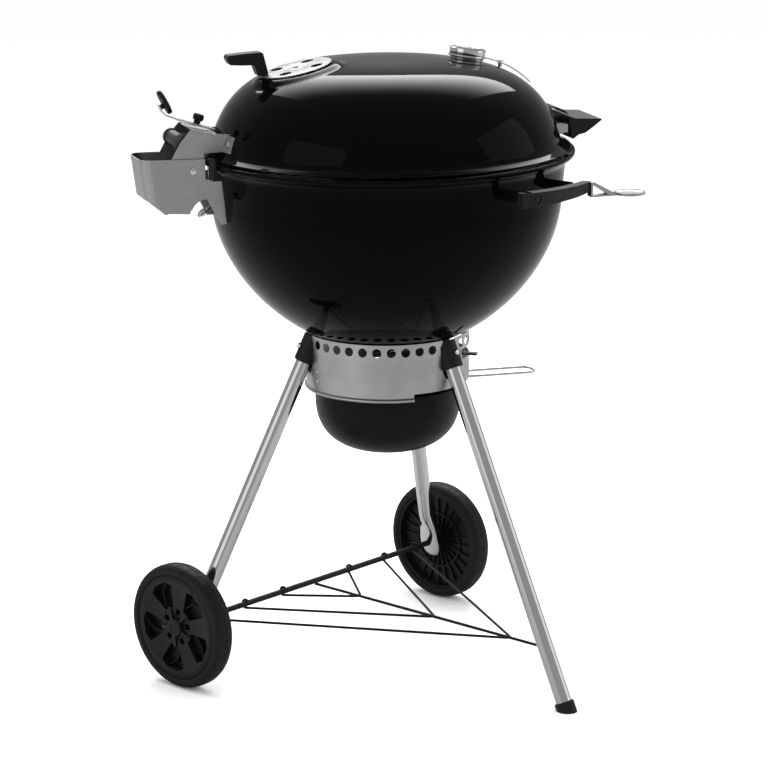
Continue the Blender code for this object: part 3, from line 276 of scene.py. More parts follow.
# Streaks and mottle: noise drawn out along the way the metal was worked.
grain, grain_in, grain_out = effect_group(
    "worked_grain", [("Scale", "NodeSocketFloat", 60.0), ("Stretch", "NodeSocketVector", (1.0, 1.0, 1.0))],
    [("Value", "NodeSocketFloat"), ("Height", "NodeSocketFloat")])
place = grain.nodes.new("ShaderNodeTexCoord")
stretch = grain.nodes.new("ShaderNodeVectorMath")
stretch.operation = "MULTIPLY"
fine = grain.nodes.new("ShaderNodeTexNoise")
fine.inputs["Detail"].default_value = 6.0
broad = grain.nodes.new("ShaderNodeTexNoise")
broad.inputs["Scale"].default_value = 7.0
broad.inputs["Detail"].default_value = 3.0
share = grain.nodes.new("ShaderNodeMix")
share.inputs[0].default_value = 0.35
for source, target in (
        (place.outputs["Object"], stretch.inputs[0]), (grain_in.outputs["Stretch"], stretch.inputs[1]),
        (stretch.outputs[0], fine.inputs["Vector"]), (grain_in.outputs["Scale"], fine.inputs["Scale"]),
        (place.outputs["Object"], broad.inputs["Vector"]), (fine.outputs["Fac"], share.inputs[2]),
        (broad.outputs["Fac"], share.inputs[3]), (share.outputs[0], grain_out.inputs["Value"]),
        (fine.outputs["Fac"], grain_out.inputs["Height"])):
    grain.links.new(source, target)


def product(tree, first, second):
    """Two values multiplied."""
    node = tree.nodes.new("ShaderNodeMath")
    node.operation = "MULTIPLY"
    tree.links.new(first, node.inputs[0])
    tree.links.new(second, node.inputs[1])
    return node.outputs[0]


# Handling: edges rubbed bright and a little dust lying on what faces up.
handled, handled_in, handled_out = effect_group(
    "handled_edges", [("Wear", "NodeSocketFloat", 0.5), ("Dust", "NodeSocketFloat", 0.1)],
    [("Edge", "NodeSocketFloat"), ("Dust", "NodeSocketFloat")])
shape = handled.nodes.new("ShaderNodeNewGeometry")
edge = handled.nodes.new("ShaderNodeMapRange")
edge.inputs["From Min"].default_value = 0.54
edge.inputs["From Max"].default_value = 0.64
patchy = handled.nodes.new("ShaderNodeTexNoise")
patchy.inputs["Scale"].default_value = 45.0
patchy_place = handled.nodes.new("ShaderNodeTexCoord")
facing = handled.nodes.new("ShaderNodeSeparateXYZ")
upturned = handled.nodes.new("ShaderNodeMapRange")
upturned.inputs["From Min"].default_value = 0.75
handled.links.new(patchy_place.outputs["Object"], patchy.inputs["Vector"])
handled.links.new(shape.outputs["Pointiness"], edge.inputs["Value"])
handled.links.new(shape.outputs["Normal"], facing.inputs[0])
handled.links.new(facing.outputs["Z"], upturned.inputs["Value"])
rubbed = product(handled, edge.outputs["Result"], patchy.outputs["Fac"])
lying = product(handled, upturned.outputs["Result"], patchy.outputs["Fac"])
handled.links.new(product(handled, rubbed, handled_in.outputs["Wear"]), handled_out.inputs["Edge"])
handled.links.new(product(handled, lying, handled_in.outputs["Dust"]), handled_out.inputs["Dust"])


def finish(name, colour, worn, rough, metallic=0.0, scale=60.0, stretch_by=(1.0, 1.0, 1.0), bump=0.1,
           depth=0.0002, wear=0.5, dust=0.05, mottle=0.0, shine=0.5):
    """A finish: its colour, the colour where it is rubbed, how rough from least to most, and its grain."""
    material = bpy.data.materials.new(name)
    material.use_nodes = True
    nodes, links = material.node_tree.nodes, material.node_tree.links
    shader = nodes["Principled BSDF"]
    shader.inputs["Metallic"].default_value = metallic
    shader.inputs["Specular IOR Level"].default_value = shine
    streaks = nodes.new("ShaderNodeGroup")
    streaks.node_tree = grain
    streaks.inputs["Scale"].default_value = scale
    streaks.inputs["Stretch"].default_value = stretch_by
    touched = nodes.new("ShaderNodeGroup")
    touched.node_tree = handled
    touched.inputs["Wear"].default_value = wear
    touched.inputs["Dust"].default_value = dust
    shade = nodes.new("ShaderNodeMix")
    shade.data_type = "RGBA"
    shade.inputs[6].default_value = (*colour, 1.0)
    shade.inputs[7].default_value = (*(c * (1.0 - mottle) for c in colour), 1.0)
    rub = nodes.new("ShaderNodeMix")
    rub.data_type = "RGBA"
    rub.inputs[7].default_value = (*worn, 1.0)
    dusted = nodes.new("ShaderNodeMix")
    dusted.data_type = "RGBA"
    dusted.inputs[7].default_value = (0.32, 0.31, 0.30, 1.0)
    rougher = nodes.new("ShaderNodeMapRange")
    rougher.inputs["From Min"].default_value = 0.3
    rougher.inputs["From Max"].default_value = 0.7
    rougher.inputs["To Min"].default_value = rough[0]
    rougher.inputs["To Max"].default_value = rough[1]
    relief = nodes.new("ShaderNodeBump")
    relief.inputs["Strength"].default_value = bump
    relief.inputs["Distance"].default_value = depth
    for source, target in (
            (streaks.outputs["Value"], shade.inputs[0]), (shade.outputs[2], rub.inputs[6]),
            (touched.outputs["Edge"], rub.inputs[0]), (rub.outputs[2], dusted.inputs[6]),
            (touched.outputs["Dust"], dusted.inputs[0]), (dusted.outputs[2], shader.inputs["Base Color"]),
            (streaks.outputs["Value"], rougher.inputs["Value"]),
            (rougher.outputs["Result"], shader.inputs["Roughness"]),
            (streaks.outputs["Height"], relief.inputs["Height"]),
            (relief.outputs["Normal"], shader.inputs["Normal"])):
        links.new(source, target)
    return material


enamel = finish("black_enamel", (0.0012, 0.0012, 0.0014), (0.006, 0.006, 0.0065), (0.035, 0.075), scale=240.0,
                bump=0.02, depth=0.0001, wear=0.2, dust=0.0015, mottle=0.2, shine=0.05)

BOWL_R, BOWL_DEPTH, BOWL_ROUND, BOWL_TOP = 0.2768, 0.2538, 1.86, 0.7772


def pressing(half_width, height, power, base, sign, steps, start=0.0):
    """The line of a pressed dome or bowl: a rounded square whose power sets how square it is."""
    first = math.asin((start / half_width) ** (power / 2.0))
    line = []
    for i in range(steps + 1):
        angle = first + (math.pi / 2.0 - first) * i / steps
        radius = half_width * math.sin(angle) ** (2.0 / power)
        line.append((radius, base + sign * height * max(0.0, math.cos(angle)) ** (2.0 / power)))
    return line


bowl_line = pressing(BOWL_R, BOWL_DEPTH, BOWL_ROUND, BOWL_TOP, -1.0, 44, 0.0065)
lip = [(BOWL_R, BOWL_TOP), (0.2790, 0.800), (0.2815, 0.822), (0.2850, 0.8305), (0.2905, 0.8348),
       (0.2956, 0.8385), (0.2970, 0.8422), (0.2966, 0.8448), (0.2950, 0.8458), (0.2936, 0.8448)]
bowl_line += smooth_line(lip, 5)[1:]


def is_air_slot(row, cell):
    """True where the bowl's bottom is open, at one of the three slots."""
    radius = bowl_line[row][0]
    azimuth = cell * 3.0
    return 0.035 < radius < 0.100 and any(abs((azimuth - slot + 180.0) % 360.0 - 180.0 + 1.5) < 9.5
                                          for slot in (270.0, 30.0, 150.0))


bowl_bm = spun(bmesh.new(), bowl_line, 120, leave_out=is_air_slot)
bmesh.ops.recalc_face_normals(bowl_bm, faces=bowl_bm.faces)


def sheet_metal(obj):
    """Gives a pressed surface the thickness of its sheet, inward."""
    sheet = obj.modifiers.new("sheet", "SOLIDIFY")
    sheet.thickness = 0.002
    sheet.offset = -1.0
    return obj


sheet_metal(fitted("kettle_bowl", bowl_bm, enamel, "bowl", crisp=60.0))


# ------------------------------------------------------------------------------------------------
# Lid: the same enamelled steel, pressed as a squarer dome with a flared skirt that closes on the lip.
# A flat seat is pressed behind the middle for the damper, and holes are punched under its holes.
LID_R, LID_RISE, LID_SQUARE, LID_BASE = 0.2862, 0.2888, 3.567, 0.696


def lid_height(radius):
    """Height of the lid's outer face at a distance from its middle."""
    return LID_BASE + LID_RISE * (1.0 - min(1.0, radius / LID_R) ** LID_SQUARE) ** (1.0 / LID_SQUARE)


lid_line = [p for p in pressing(LID_R, LID_RISE, LID_SQUARE, LID_BASE, 1.0, 110) if p[1] > 0.868]
skirt = [lid_line[-1], (0.2737, 0.8635), (0.2758, 0.8600), (0.2798, 0.8560), (0.2855, 0.8530),
         (0.2902, 0.8510), (0.2912, 0.8500), (0.2908, 0.8492)]
lid_line += smooth_line(skirt, 4)[1:]
even = []
for radius, height in lid_line:
    while even and radius - even[-1][0] > 0.0085:
        step = even[-1][0] + 0.0060
        even.append((step, lid_height(step)))
    even.append((radius, height))
lid_bm = spun(bmesh.new(), even, 160)


def on_lid(y, tilt, lift):
    """A place on the lid's middle line, leaning as the sheet does."""
    lean = math.radians(tilt)
    normal = Vector((0.0, math.sin(lean), math.cos(lean)))
    return along(Vector((0.0, y, lid_height(abs(y)))) + normal * lift, normal)


DAMPER_R = 0.0555
damper_seat = on_lid(0.1435, 12.1, 0.0018)
gauge_seat = on_lid(-0.134, -8.5, 0.0)
to_seat = damper_seat.inverted()
for vert in lid_bm.verts:
    near = to_seat @ vert.co
    reach = math.hypot(near.x, near.y)
    if reach < 0.076 and near.z > -0.05:
        part = min(1.0, max(0.0, (0.076 - reach) / 0.016))
        part = part * part * (3.0 - 2.0 * part)
        near.z += (-0.0016 - near.z) * part
        vert.co = damper_seat @ near
bmesh.ops.recalc_face_normals(lid_bm, faces=lid_bm.faces)


def carve(obj, cutters):
    """Cuts a shape out, given where the piece stands on the grill, and keeps the result as plain mesh."""
    mesh = bpy.data.meshes.new("cutter")
    bmesh.ops.translate(cutters, vec=KETTLE, verts=cutters.verts)
    bmesh.ops.recalc_face_normals(cutters, faces=cutters.faces)
    cutters.to_mesh(mesh)
    cutters.free()
    tool = placed("cutter", mesh)
    cut = obj.modifiers.new("cut", "BOOLEAN")
    cut.operation = "DIFFERENCE"
    cut.object = tool
    settled(obj)
    bpy.data.objects.remove(tool, do_unlink=True)
    obj.data.shade_smooth()
    obj.data.set_sharp_from_angle(angle=math.radians(40.0))


def post(bm, matrix, radius, low, high, sides=32):
    """A plain round bar, standing on its place."""
    outline = [(0.0, low), (radius, low), (radius, high), (0.0, high)]
    return joined(bm, spun(bmesh.new(), outline, sides, matrix))


VENT_PLACES = [(sx * 0.0255, sy * 0.0255) for sx in (-1.0, 1.0) for sy in (-1.0, 1.0)]
lid = fitted("kettle_lid", lid_bm, enamel, "lid", crisp=60.0)
settled(sheet_metal(lid))
punches = bmesh.new()
for x, y in VENT_PLACES:
    post(punches, damper_seat @ Matrix.Translation((x, y, 0.0)), 0.0102, -0.02, 0.01)
post(punches, damper_seat, 0.0034, -0.02, 0.01, 16)
post(punches, gauge_seat, 0.0065, -0.02, 0.01, 16)
carve(lid, punches)

# ------------------------------------------------------------------------------------------------
# Top damper: a satin aluminium disc with four round holes, turned on a rivet by a black nylon tab
# that stands up clear of the hot lid.
satin_aluminium = finish("satin_aluminium", (0.30, 0.30, 0.305), (0.52, 0.52, 0.52), (0.34, 0.48), 1.0, 130.0,
                         (1.0, 6.0, 6.0), 0.05, wear=0.3, dust=0.01, mottle=0.25)
nylon = finish("black_nylon", (0.0045, 0.0045, 0.0048), (0.02, 0.02, 0.02), (0.36, 0.50), scale=700.0,
               bump=0.18, depth=0.00015, wear=0.35, dust=0.015, mottle=0.15, shine=0.22)


def disc_of(bm, matrix, profile, sides=72):
    """A turned piece on its place, closed round a hole where its profile starts off the axis."""
    return joined(bm, spun(bmesh.new(), profile, sides, matrix, closed=profile[0][0] > 1e-6))


DAMPER = [(0.0034, 0.0014), (0.0100, 0.0014), (0.0120, 0.0008), (0.0135, 0.0008), (0.0150, 0.0013),
          (0.0480, 0.0013), (0.0500, 0.0008), (0.0530, 0.0008), (0.0545, 0.0012), (DAMPER_R, 0.0010),
          (DAMPER_R, 0.0), (0.0034, 0.0)]
damper_bm = disc_of(bmesh.new(), damper_seat, DAMPER, 96)
damper = fitted("damper_plate", damper_bm, satin_aluminium, "damper_disc")
punches = bmesh.new()
for x, y in VENT_PLACES:
    post(punches, damper_seat @ Matrix.Translation((x, y, 0.0)), 0.0098, -0.01, 0.01, 40)
carve(damper, punches)
soften(damper, 0.0002, 2)


def slab(bm, outline, low, high, axis="x"):
    """A flat outline given thickness: (y, z) points along x, or (x, y) points along z."""
    def at(point, level):
        return (level, point[0], point[1]) if axis == "x" else (point[0], point[1], level)
    first = [bm.verts.new(at(p, low)) for p in outline]
    second = [bm.verts.new(at(p, high)) for p in outline]
    bm.faces.new(first)
    bm.faces.new(second)
    for i in range(len(outline)):
        k = (i + 1) % len(outline)
        bm.faces.new((first[i], first[k], second[k], second[i]))
    return bm


TAB = [(0.1870, 0.9722), (0.2035, 0.9688), (0.2080, 0.9800), (0.2100, 0.9862), (0.2300, 0.9866),
       (0.2480, 0.9880), (0.2520, 0.9950), (0.2530, 1.0000), (0.2500, 1.0030), (0.2250, 1.0046),
       (0.1985, 1.0060), (0.1950, 1.0040), (0.1915, 0.9900)]
fitted("damper_tab_grip", slab(bmesh.new(), TAB, 0.0055, 0.0285), nylon, "damper_tab", rounding=0.0016)

# ------------------------------------------------------------------------------------------------
# Lid thermometer: a bright plated case on a flange, a white dial under flat glass and a red needle.
# A sprung clip of the same plated strip lies in front of it, held off the lid by one post.
plated = finish("bright_plate", (0.72, 0.72, 0.73), (0.85, 0.85, 0.85), (0.05, 0.13), 1.0, 300.0, bump=0.02,
                depth=0.0001, wear=0.2, dust=0.01, mottle=0.1)
RISE = 0.0185
CASE = [(0.0, -0.0020), (0.0255, -0.0020), (0.0262, 0.0004), (0.0264, 0.0036), (0.0284, 0.0043),
        (0.0297, 0.0049), (0.0300, 0.0058), (0.0296, 0.0067), (0.0284, 0.0072), (0.0281, 0.0078),
        (0.0284, 0.0084),
        (0.0286, RISE - 0.0024), (0.0283, RISE - 0.0008), (0.0274, RISE), (0.0264, RISE - 0.0003),
        (0.0259, RISE - 0.0012), (0.0258, RISE - 0.0057), (0.0, RISE - 0.0057)]
case_bm = disc_of(bmesh.new(), gauge_seat, [(r * 0.99, h) for r, h in CASE], 96)
post(case_bm, gauge_seat, 0.0035, -0.044, 0.0, 20)
fitted("thermometer_case", case_bm, plated, "gauge_case", crisp=28.0)

dial_white = finish("dial_enamel", (0.80, 0.80, 0.78), (0.6, 0.6, 0.6), (0.40, 0.50), scale=50.0,
                    bump=0.0, wear=0.0, dust=0.0)
DIAL_Z = RISE - 0.0052
dial_bm = disc_of(bmesh.new(), gauge_seat, [(0.0, DIAL_Z), (0.0254, DIAL_Z), (0.0254, DIAL_Z - 0.0003),
                                            (0.0, DIAL_Z - 0.0003)])
fitted("thermometer_dial", dial_bm, dial_white, body="lid", slot="brushed")
dial_ink = finish("dial_ink", (0.02, 0.02, 0.02), (0.05, 0.05, 0.05), (0.4, 0.5), scale=50.0,
                  bump=0.0, wear=0.0, dust=0.0)
marks = bmesh.new()
for i in range(31):
    turn_by = gauge_seat @ Matrix.Rotation(math.radians(135.0 - 9.0 * i), 4, "Z")
    long = 0.0165 if i % 5 == 0 else 0.0195
    wide = 0.0006 if i % 5 == 0 else 0.0003
    tick = slab(bmesh.new(), [(-wide, long), (wide, long), (wide, 0.0225), (-wide, 0.0225)], DIAL_Z + 0.00002,
                DIAL_Z + 0.0002, "z")
    joined(marks, tick, turn_by)
fitted("thermometer_marks", marks, dial_ink, body="lid", slot="brushed")

needle_paint = finish("needle_paint", (0.42, 0.02, 0.015), (0.5, 0.1, 0.1), (0.3, 0.4), scale=80.0, bump=0.0)
glass = bpy.data.materials.new("dial_glass")
glass.use_nodes = True
glass_shader = glass.node_tree.nodes["Principled BSDF"]
glass_shader.inputs["Transmission Weight"].default_value = 1.0
glass_shader.inputs["Metallic"].default_value = 0.0
glass_shader.inputs["IOR"].default_value = 1.45
glass_shader.inputs["Base Color"].default_value = (0.96, 0.97, 0.97, 1.0)
smudge = glass.node_tree.nodes.new("ShaderNodeGroup")
smudge.node_tree = grain
smudge.inputs["Scale"].default_value = 90.0
smudged = glass.node_tree.nodes.new("ShaderNodeMapRange")
smudged.inputs["To Max"].default_value = 0.05
glass.node_tree.links.new(smudge.outputs["Value"], smudged.inputs["Value"])
glass.node_tree.links.new(smudged.outputs["Result"], glass_shader.inputs["Roughness"])
GLASS_Z = RISE - 0.0018
pane = disc_of(bmesh.new(), gauge_seat, [(0.0, GLASS_Z + 0.0012), (0.0250, GLASS_Z + 0.0012),
                                         (0.0256, GLASS_Z + 0.0009), (0.0256, GLASS_Z), (0.0, GLASS_Z)], 64)
fitted("thermometer_glass", pane, glass, "gauge_glass")


def painted(node, material, rounding=0.0):
    """A CAD piece whose shape is right keeps it, and gets its finish and rounded edges."""
    obj = frame["nodes"][node]
    for index in range(len(obj.material_slots)):
        obj.material_slots[index].material = material
    if rounding > 0.0:
        soften(obj, rounding, 2)
    return obj


painted("gauge_needle", needle_paint)
painted("damper_rivet", plated, 0.0003)

clip_reach = [0.1650 + 0.0062 * i for i in range(13)]
clip_spine = [(-reach, lid_height(reach) + 0.0069 + 0.0001 * i) for i, reach in enumerate(clip_reach)]
clip_line = clip_spine + [(y, z + 0.0017) for y, z in clip_spine[::-1]]
clip_bm = slab(bmesh.new(), clip_line, -0.0075, 0.0075)
post(clip_bm, Matrix.Translation((0.0, -0.1900, lid_height(0.19))), 0.0030, 0.0008, 0.0100, 20)
post(clip_bm, Matrix.Translation((0.0, -0.1900, lid_height(0.19))), 0.0055, 0.0088, 0.0108, 20)
fitted("thermometer_clip", clip_bm, plated, "gauge_clip", rounding=0.0005)

# ------------------------------------------------------------------------------------------------
# Lid handle: one moulded nylon grip, cupped underneath, on a welded steel bracket. A small enamelled
# sheet over the bracket keeps the cook's hand off the heat.
HANDLE = [(-0.2885, 0.8885), (-0.2925, 0.8868), (-0.2997, 0.8842), (-0.3150, 0.8832), (-0.3435, 0.8812),
          (-0.3445, 0.8795), (-0.3300, 0.8690), (-0.3163, 0.8600), (-0.3046, 0.8575), (-0.2960, 0.8512),
          (-0.2911, 0.8537), (-0.2921, 0.8618), (-0.2881, 0.8768)]
grip_bm = slab(bmesh.new(), HANDLE, -0.050, 0.050)
fitted("lid_grip", grip_bm, nylon, "lid_handle", rounding=0.0022)
stainless = finish("brushed_stainless", (0.52, 0.52, 0.52), (0.75, 0.75, 0.75), (0.24, 0.44), 1.0, 55.0,
                   (1.0, 1.0, 26.0), 0.12, 0.0003, wear=0.4, dust=0.02, mottle=0.35)
painted("handle_shield", enamel, 0.0006)
painted("handle_mount", stainless, 0.0005)

# ------------------------------------------------------------------------------------------------
# Legs: bright plated steel tube. The two that carry the axle are pressed flat at the foot and drilled,
# the third ends in a rubber cap. Each goes up into a nylon collar under the bowl.
LEG_FOOT, LEG_SLOPE, LEG_R = 0.3724, 0.455, 0.0127
LEG_AZIMUTH = {"rear": 90.0, "right": -30.0, "left": -150.0}
LEG_LONG = math.hypot(1.0, LEG_SLOPE)
plated_tube = finish("plated_tube", (0.66, 0.66, 0.67), (0.85, 0.85, 0.85), (0.07, 0.16), 1.0, 90.0,
                     (1.0, 1.0, 0.12), 0.03, 0.0001, wear=0.25, dust=0.01, mottle=0.18)


def on_leg(azimuth, z):
    return polar(LEG_FOOT - LEG_SLOPE * z, azimuth, z)


AXLE_Z, AXLE_R = 0.1012, 0.00475
axle_ends = [on_leg(90.0, AXLE_Z), on_leg(-30.0, AXLE_Z)]
axle_way = (axle_ends[1] - axle_ends[0]).normalized()


def leg(side, low, flattened):
    """A tube leg from its foot to the bowl; a flattened one is pressed flat where the axle goes through."""
    azimuth = LEG_AZIMUTH[side]
    up = (on_leg(azimuth, 1.0) - on_leg(azimuth, 0.0)).normalized()
    seat = along(on_leg(azimuth, 0.0), up, axle_way if flattened else polar(1.0, azimuth + 90.0, 0.0))
    sections = [(low, 1.0, 1.0), (low + 0.002, 1.0, 1.0)]
    if flattened:
        sections = [(low - 0.001, 0.18, 0.45), (low + 0.001, 0.26, 0.92), (low + 0.005, 0.30, 1.34),
                    (low + 0.011, 0.31, 1.62), (low + 0.019, 0.31, 1.74), (low + 0.030, 0.31, 1.72),
                    (low + 0.052, 0.33, 1.52), (low + 0.062, 0.45, 1.40), (low + 0.072, 0.66, 1.24),
                    (low + 0.084, 0.90, 1.07), (low + 0.096, 1.0, 1.0)]
    sections += [(low + 0.12, 1.0, 1.0), (0.30 * LEG_LONG, 1.0, 1.0), (0.541 * LEG_LONG, 1.0, 1.0)]
    bm = bmesh.new()
    rings = []
    for height, wide, deep in sections:
        ring = []
        for i in range(40):
            angle = 2.0 * math.pi * i / 40.0
            point = Vector((LEG_R * wide * math.cos(angle), LEG_R * deep * math.sin(angle), height))
            ring.append(bm.verts.new(seat @ point))
        rings.append(ring)
    return fitted(f"leg_tube_{side}", walled(bm, rings), plated_tube, f"leg_{side}", crisp=50.0)


leg("left", 0.0066, False)
for side, end in (("rear", axle_ends[0]), ("right", axle_ends[1])):
    tube_leg = leg(side, 0.078 * LEG_LONG, True)
    carve(tube_leg, post(bmesh.new(), along(end, axle_way), 0.0052, -0.02, 0.02, 24))
for side in LEG_AZIMUTH:
    painted(f"leg_collar_{side}", nylon, 0.0007)
    painted(f"leg_screw_{side}", plated, 0.0003)
rubber = finish("black_rubber", (0.005, 0.005, 0.005), (0.02, 0.02, 0.02), (0.48, 0.68), scale=420.0,
                bump=0.35, depth=0.0003, wear=0.3, dust=0.04, mottle=0.3, shine=0.25)
painted("foot_cap", rubber, 0.0008)

# ------------------------------------------------------------------------------------------------
# Wheels: a moulded nylon disc with five deep windows and ribs behind, a flat cap, and a nearly smooth
# rubber tyre. Both turn on one black steel rod through the flattened legs.
satin_paint = finish("satin_black", (0.003, 0.003, 0.0032), (0.04, 0.04, 0.04), (0.30, 0.45),
                     scale=260.0, bump=0.10, depth=0.0002, wear=0.35, dust=0.006, mottle=0.2, shine=0.12)
painted("axle", satin_paint, 0.0006)
TYRE = [(0.0845, 0.0150), (0.0862, 0.0172), (0.0885, 0.0181), (0.0925, 0.0180), (0.0958, 0.0166),
        (0.0984, 0.0132), (0.1000, 0.0080), (0.1005, 0.0), (0.1000, -0.0080), (0.0984, -0.0132),
        (0.0958, -0.0166), (0.0925, -0.0180), (0.0885, -0.0181), (0.0862, -0.0172), (0.0845, -0.0150)]
RIM = [(0.0055, 0.0126), (0.0300, 0.0126), (0.0420, 0.0132), (0.0700, 0.0150), (0.0715, 0.0156),
       (0.0800, 0.0162), (0.0812, 0.0158), (0.0822, 0.0166), (0.0842, 0.0158), (0.0842, -0.0145),
       (0.0800, -0.0150),
       (0.0785, -0.0015), (0.0500, -0.0015), (0.0490, -0.0050), (0.0460, -0.0050), (0.0450, -0.0015),
       (0.0215, -0.0015), (0.0205, -0.0110), (0.0165, -0.0110), (0.0160, -0.0160), (0.0055, -0.0160)]
CAP = [(0.0055, 0.0129), (0.0130, 0.0129), (0.0142, 0.0135), (0.0145, 0.0180), (0.0138, 0.0192),
       (0.0105, 0.0196), (0.0100, 0.0190), (0.0, 0.0190), (0.0, 0.0188), (0.0055, 0.0188)]
BAYS = [72.0 * bay + 28.0 for bay in range(5)]
WINDOW = [(0.0330, -17.0), (0.0680, -21.0), (0.0735, -10.0), (0.0735, 10.0), (0.0680, 21.0), (0.0330, 17.0)]
POCKET = [(0.0200, 24.0), (0.0300, 27.0), (0.0300, 45.0), (0.0200, 48.0)]


def swept_rib(inner, outer, azimuth, sweep, wide_in, wide_out, low, high_in, high_out):
    """A moulded rib that curves from the hub out to the rim."""
    part = bmesh.new()
    left, right_side = [], []
    for i in range(9):
        t = i / 8.0
        radius = inner + (outer - inner) * t
        angle = azimuth + sweep * t * t
        half = (wide_in + (wide_out - wide_in) * t) / 2.0
        centre = polar(radius, angle, 0.0)
        side_way = polar(1.0, angle + 90.0, 0.0)
        top = high_in + (high_out - high_in) * t
        left.append((centre - side_way * half, top))
        right_side.append((centre + side_way * half, top))
    rows = []
    for (a, top), (b, _) in zip(left, right_side):
        rows.append([part.verts.new((a.x, a.y, low)), part.verts.new((a.x, a.y, top)),
                     part.verts.new((b.x, b.y, top)), part.verts.new((b.x, b.y, low))])
    walled(part, rows)
    bmesh.ops.recalc_face_normals(part, faces=part.faces)
    return part


def wheel(side, end, outward):
    """One whole wheel on its end of the axle: disc, ribs, cap and tyre."""
    place = along(end + outward * 0.028, outward, (0.0, 0.0, 1.0))
    rim = disc_of(bmesh.new(), place, RIM, 120)
    disc = fitted(f"wheel_disc_{side}", rim, nylon, f"wheel_{side}_rim", crisp=30.0)
    for middle in BAYS:
        for outline, floor_z in ((WINDOW, 0.0010), (POCKET, 0.0040)):
            corners = [polar(radius, middle + turned, 0.0) for radius, turned in outline]
            cutter = slab(bmesh.new(), [(p.x, p.y) for p in corners], floor_z, 0.03, "z")
            bmesh.ops.transform(cutter, matrix=place, verts=cutter.verts)
            carve(disc, cutter)
    ribs = bmesh.new()
    for middle in BAYS:
        vane = swept_rib(0.0325, 0.0725, middle + 13.0, -24.0, 0.0012, 0.0014, 0.0006, 0.0085, 0.0120)
        spoke = swept_rib(0.0140, 0.0335, middle, 0.0, 0.0050, 0.0064, 0.0100, 0.0172, 0.0140)
        joined(ribs, vane, place)
        joined(ribs, spoke, place)
    for rib in range(24):
        back_rib = swept_rib(0.0210, 0.0786, 15.0 * rib, 0.0, 0.0013, 0.0013, -0.0060, -0.0010, -0.0010)
        joined(ribs, back_rib, place)
    fitted(f"wheel_ribs_{side}", ribs, nylon, body=body_for[f"wheel_{side}_rim"], slot="nylon", crisp=30.0)
    soften(disc, 0.0006, 2)
    cap = disc_of(bmesh.new(), place, CAP, 48)
    fitted(f"wheel_hubcap_{side}", cap, nylon, f"wheel_{side}_cap", crisp=40.0)
    tyre = disc_of(bmesh.new(), place, TYRE, 120)
    for block in range(30):
        for half in (-1.0, 1.0):
            part = bmesh.new()
            rows = []
            for depth, radius in ((0.0004, 0.0990), (0.0004, 0.1012), (0.0080, 0.1007), (0.0128, 0.0991),
                                  (0.0140, 0.0978), (0.0128, 0.0965)):
                lean = 12.0 * block + half * 3.0 + depth * 200.0
                a = polar(radius, lean - 5.7, half * depth)
                b = polar(radius, lean + 5.7, half * depth)
                crown = polar(radius, lean, half * depth)
                rows.append((part.verts.new(a), part.verts.new(crown), part.verts.new(b)))
            for first, second in zip(rows, rows[1:] + rows[:1]):
                part.faces.new((first[0], first[1], second[1], second[0]))
                part.faces.new((first[1], first[2], second[2], second[1]))
            part.faces.new([row[0] for row in rows])
            part.faces.new([row[2] for row in rows])
            bmesh.ops.recalc_face_normals(part, faces=part.faces)
            joined(tyre, part, place)
    fitted(f"wheel_tyre_{side}", tyre, rubber, f"wheel_{side}_tyre", rounding=0.0003, crisp=30.0)


wheel("rear", axle_ends[0], -axle_way)
wheel("right", axle_ends[1], axle_way)


# ------------------------------------------------------------------------------------------------
# Wire rack: black painted rod. A spine runs from the axle to the third leg, and three open vees
# are welded to it, each with its ends curled round the axle.
def rod(bm, path, radius, sides=12, closed=False):
    """Round wire along a path, with flat ends unless the path closes on itself."""
    points = [Vector(p) for p in path]
    count = len(points)
    rings = []
    side_way = None
    for i, point in enumerate(points):
        before = points[i - 1] if closed or i > 0 else point
        after = points[(i + 1) % count] if closed or i + 1 < count else point
        way = (after - before).normalized()
        if side_way is None:
            side_way = way.cross(Vector((0.0, 0.0, 1.0)) if abs(way.z) < 0.9 else Vector((1.0, 0.0, 0.0)))
        side_way = (side_way - way * side_way.dot(way)).normalized()
        up = way.cross(side_way)
        rings.append([bm.verts.new(point + radius * (math.cos(2.0 * math.pi * k / sides) * side_way
                                                     + math.sin(2.0 * math.pi * k / sides) * up))
                      for k in range(sides)])
    return walled(bm, rings + rings[:1] if closed else rings, ends=not closed)


def bent(points, radius):
    """Straight runs with each corner bent round."""
    knots = [Vector(p) for p in points]
    line = [knots[0]]
    for a, b, c in zip(knots[:-2], knots[1:-1], knots[2:]):
        room = min(radius, (b - a).length * 0.45, (c - b).length * 0.45)
        start = b + (a - b).normalized() * room
        end = b + (c - b).normalized() * room
        for i in range(7):
            t = i / 6
            line.append(start * (1.0 - t) ** 2 + b * 2.0 * t * (1.0 - t) + end * t * t)
    line.append(knots[-1])
    return line


WIRE = 0.0021
RACK_Z = AXLE_Z - AXLE_R - WIRE - 0.0004
axle_middle = (axle_ends[0] + axle_ends[1]) / 2.0
rack_way = polar(1.0, -150.0, 0.0)
rack_start = Vector((axle_middle.x, axle_middle.y, RACK_Z))
rack = rod(bmesh.new(), [rack_start - rack_way * 0.004, rack_start + rack_way * 0.4745], WIRE * 1.15)


def curl(at, inward):
    """The end of a wire, from its tip over the axle round to its underside."""
    hold = AXLE_R + WIRE + 0.0003
    axis_point = Vector((at.x, at.y, AXLE_Z))
    turns = [math.radians(a) for a in (60.0, 90.0, 120.0, 150.0, 180.0, 210.0, 240.0, 262.0)]
    return [axis_point + hold * (math.cos(a) * inward + Vector((0.0, 0.0, math.sin(a)))) for a in turns]


